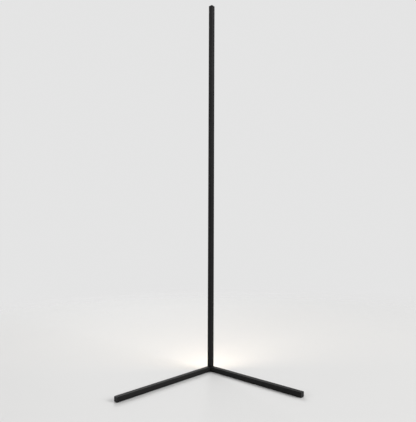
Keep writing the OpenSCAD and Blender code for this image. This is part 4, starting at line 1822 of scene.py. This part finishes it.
@dataclass(frozen=True)
class SoftLight:
    """A square, soft studio light.

    Attributes:
        name: its name.
        place: where it stands.
        aim: the point that it faces.
        side: side of its square.
        power: its power in watts.
    """

    name: str
    place: Triple
    aim: Triple
    side: float
    power: float

    def build(self) -> bpy.types.Object:
        """Sets the light up.

        Returns:
            The light's object.
        """
        data = bpy.data.lights.new(self.name, "AREA")
        data.size = self.side
        data.energy = self.power
        stand = bpy.data.objects.new(self.name, data)
        stand.location = self.place
        stand.rotation_euler = (Vector(self.aim) - Vector(self.place)).to_track_quat("-Z", "Y").to_euler()
        bpy.context.scene.collection.objects.link(stand)
        return stand


@dataclass
class Studio:
    """The floor, the pale surroundings, the soft lights and the camera.

    The camera stands where the picture was taken from. Its place follows from the lamp's edges in the picture.

    Attributes:
        floor_radius: radius of the round floor.
        floor_points: points round the floor's rim.
        floor_clear: distance from the lamp at which the floor starts to fade into the backdrop.
        floor_end: distance at which it has faded away.
        floor_colour: colour of the floor.
        floor_mottle: how dark its faint mottling gets, as a share of its colour.
        mottles_per_metre: number of mottles in a metre.
        floor_roughness: roughness of the floor.
        floor_gloss: strength of the mirror-like share of its gloss.
        ambient: level of the light that comes from all sides.
        backdrop: level at which the surroundings show, as pale as the floor, so the lit diffuser stands out.
        picture_height: the picture's longer side in pixels.
        focal_pixels: focal length in pixels.
        middle_x: pixel column that the camera's axis meets.
        picture_middle_x: middle column of the picture.
        camera_distance: distance from the camera to the pole, along Y.
        camera_height: height of the camera.
        pitch: how far the camera looks up, in degrees.
        yaw: how far it turns to the left, in degrees.
        roll: how far it leans, in degrees.
        sensor: width of the camera's sensor in millimetres.
        nearest: distance from which the camera sees.
        farthest: distance up to which it sees.
        glow_power: power of the light that leaves the diffuser to the rear, in watts.
        glow_gap: distance of this light from the diffuser.
        lights: the soft lights.
    """

    floor_radius: float = 3.6
    floor_points: int = 96
    floor_clear: float = 0.7
    floor_end: float = 2.88
    floor_colour: Colour = (0.71, 0.708, 0.702)
    floor_mottle: float = 0.985
    mottles_per_metre: float = 3.0
    floor_roughness: float = 0.7
    floor_gloss: float = 0.2
    ambient: float = 0.42
    backdrop: float = 0.78
    picture_height: int = 422
    focal_pixels: float = 416.74
    middle_x: float = 238.15
    picture_middle_x: float = 208.0
    camera_distance: float = 1.5837
    camera_height: float = 0.4859
    pitch: float = 3.895
    yaw: float = -3.728
    roll: float = -0.06
    sensor: float = 36.0
    nearest: float = 0.05
    farthest: float = 60.0
    glow_power: float = 4.0
    glow_gap: float = 1 * MM
    lights: tuple[SoftLight, ...] = (
        SoftLight("key_light", (5.2, -3.0, 3.2), (0.0, 0.0, 0.6), 3.0, 340.0),
        SoftLight("fill_light", (-5.0, -2.8, 3.0), (0.0, 0.0, 0.6), 3.4, 100.0),
        SoftLight("back_light", (-1.2, 5.4, 3.8), (0.0, 0.0, 0.7), 3.0, 170.0),
    )

    def build(self) -> None:
        """Sets the whole studio up."""
        self._surroundings()
        self._floor()
        self._glow()
        for light in self.lights:
            light.build()
        self._camera()
        bpy.context.scene.view_settings.view_transform = "Standard"

    def _surroundings(self) -> None:
        """Makes a world that lights evenly and shows as a plain pale backdrop."""
        world = bpy.data.worlds.new("pale_studio")
        world.use_nodes = True
        bpy.context.scene.world = world
        bench = NodeBench(world.node_tree)
        background = world.node_tree.nodes["Background"]
        background.inputs["Color"].default_value = (1.0, 1.0, 1.0, 1.0)
        path = bench.add("LightPath").outputs
        seen = bench.math("MAXIMUM", path["Is Camera Ray"], path["Is Glossy Ray"])
        seen = bench.math("MAXIMUM", seen, path["Is Transmission Ray"])
        bench.feed(background.inputs["Strength"], bench.remap(seen, (0.0, 1.0), (self.ambient, self.backdrop)))

    def _floor(self) -> None:
        """Lays a pale floor that fades into the backdrop far from the lamp."""
        mesh = bmesh.new()
        bmesh.ops.create_circle(mesh, cap_ends=True, radius=self.floor_radius, segments=self.floor_points)
        data = bpy.data.meshes.new("studio_floor")
        mesh.to_mesh(data)
        mesh.free()
        data.materials.append(self._floor_paint())
        floor = bpy.data.objects.new("studio_floor", data)
        bpy.context.scene.collection.objects.link(floor)

    def _floor_paint(self) -> bpy.types.Material:
        """Mixes the floor's faintly mottled paint, which turns clear away from the lamp.

        Returns:
            The material.
        """
        paint = bpy.data.materials.new("pale_floor")
        paint.use_nodes = True
        bench = NodeBench(paint.node_tree)
        shader = paint.node_tree.nodes["Principled BSDF"]
        shader.inputs["Roughness"].default_value = self.floor_roughness
        shader.inputs["Specular IOR Level"].default_value = self.floor_gloss
        place = bench.add("TexCoord").outputs["Object"]
        mottle = bench.noise(place, self.mottles_per_metre, detail=5.0)
        darker = tuple(self.floor_mottle * share for share in self.floor_colour)
        bench.feed(shader.inputs["Base Color"], bench.blend(mottle, self.floor_colour, darker))
        away = bench.add("VectorMath", {0: place}, operation="LENGTH").outputs["Value"]
        fade = bench.remap(away, (self.floor_clear, self.floor_end), (0.0, 1.0), "SMOOTHERSTEP")
        clear = bench.add("BsdfTransparent")
        mixed = bench.add("MixShader", {0: fade, 1: shader.outputs[0], 2: clear.outputs[0]})
        bench.feed(paint.node_tree.nodes["Material Output"].inputs["Surface"], mixed.outputs[0])
        return paint

    def _glow(self) -> None:
        """Lets the diffuser's warm light fall to the rear, onto the floor."""
        box = Box.of("diffuser")
        data = bpy.data.lights.new("diffuser_light", "AREA")
        data.shape = "RECTANGLE"
        data.size = box.size.x
        data.size_y = box.size.z
        data.energy = self.glow_power
        data.color = OPAL.glow.bright
        strip = bpy.data.objects.new("diffuser_light", data)
        strip.location = (0.0, box.high.y + self.glow_gap, box.centre.z)
        strip.rotation_euler = (-math.pi / 2, 0.0, math.pi)
        strip.visible_camera = False
        strip.visible_glossy = False
        bpy.context.scene.collection.objects.link(strip)

    def _camera(self) -> None:
        """Sets the camera up at the picture's viewpoint."""
        data = bpy.data.cameras.new("viewpoint")
        data.sensor_width = self.sensor
        data.lens = self.focal_pixels / self.picture_height * self.sensor
        data.shift_x = (self.picture_middle_x - self.middle_x) / self.picture_height
        data.clip_start = self.nearest
        data.clip_end = self.farthest
        camera = bpy.data.objects.new("viewpoint", data)
        turn = Matrix.Rotation(math.radians(self.yaw), 4, "Z")
        turn = turn @ Matrix.Rotation(math.radians(90 + self.pitch), 4, "X")
        turn = turn @ Matrix.Rotation(math.radians(self.roll), 4, "Z")
        camera.matrix_world = Matrix.Translation((0.0, -self.camera_distance, self.camera_height)) @ turn
        bpy.context.scene.collection.objects.link(camera)
        bpy.context.scene.camera = camera


def main() -> None:
    """Builds the lamp's sub-assemblies in order, and then the studio."""
    logging.basicConfig(level=logging.INFO, format="%(name)s: %(message)s")
    for assembly in (Base(), Pole(), LightEngine(), PowerInlet()):
        group = type(assembly).__name__
        for piece in assembly.build():
            finish = piece.material_slots[0].material.name
            log.info("%s: %s, %d faces, %s", group, piece.name, len(piece.data.polygons), finish)
    Studio().build()


if __name__ == "__main__":
    main()
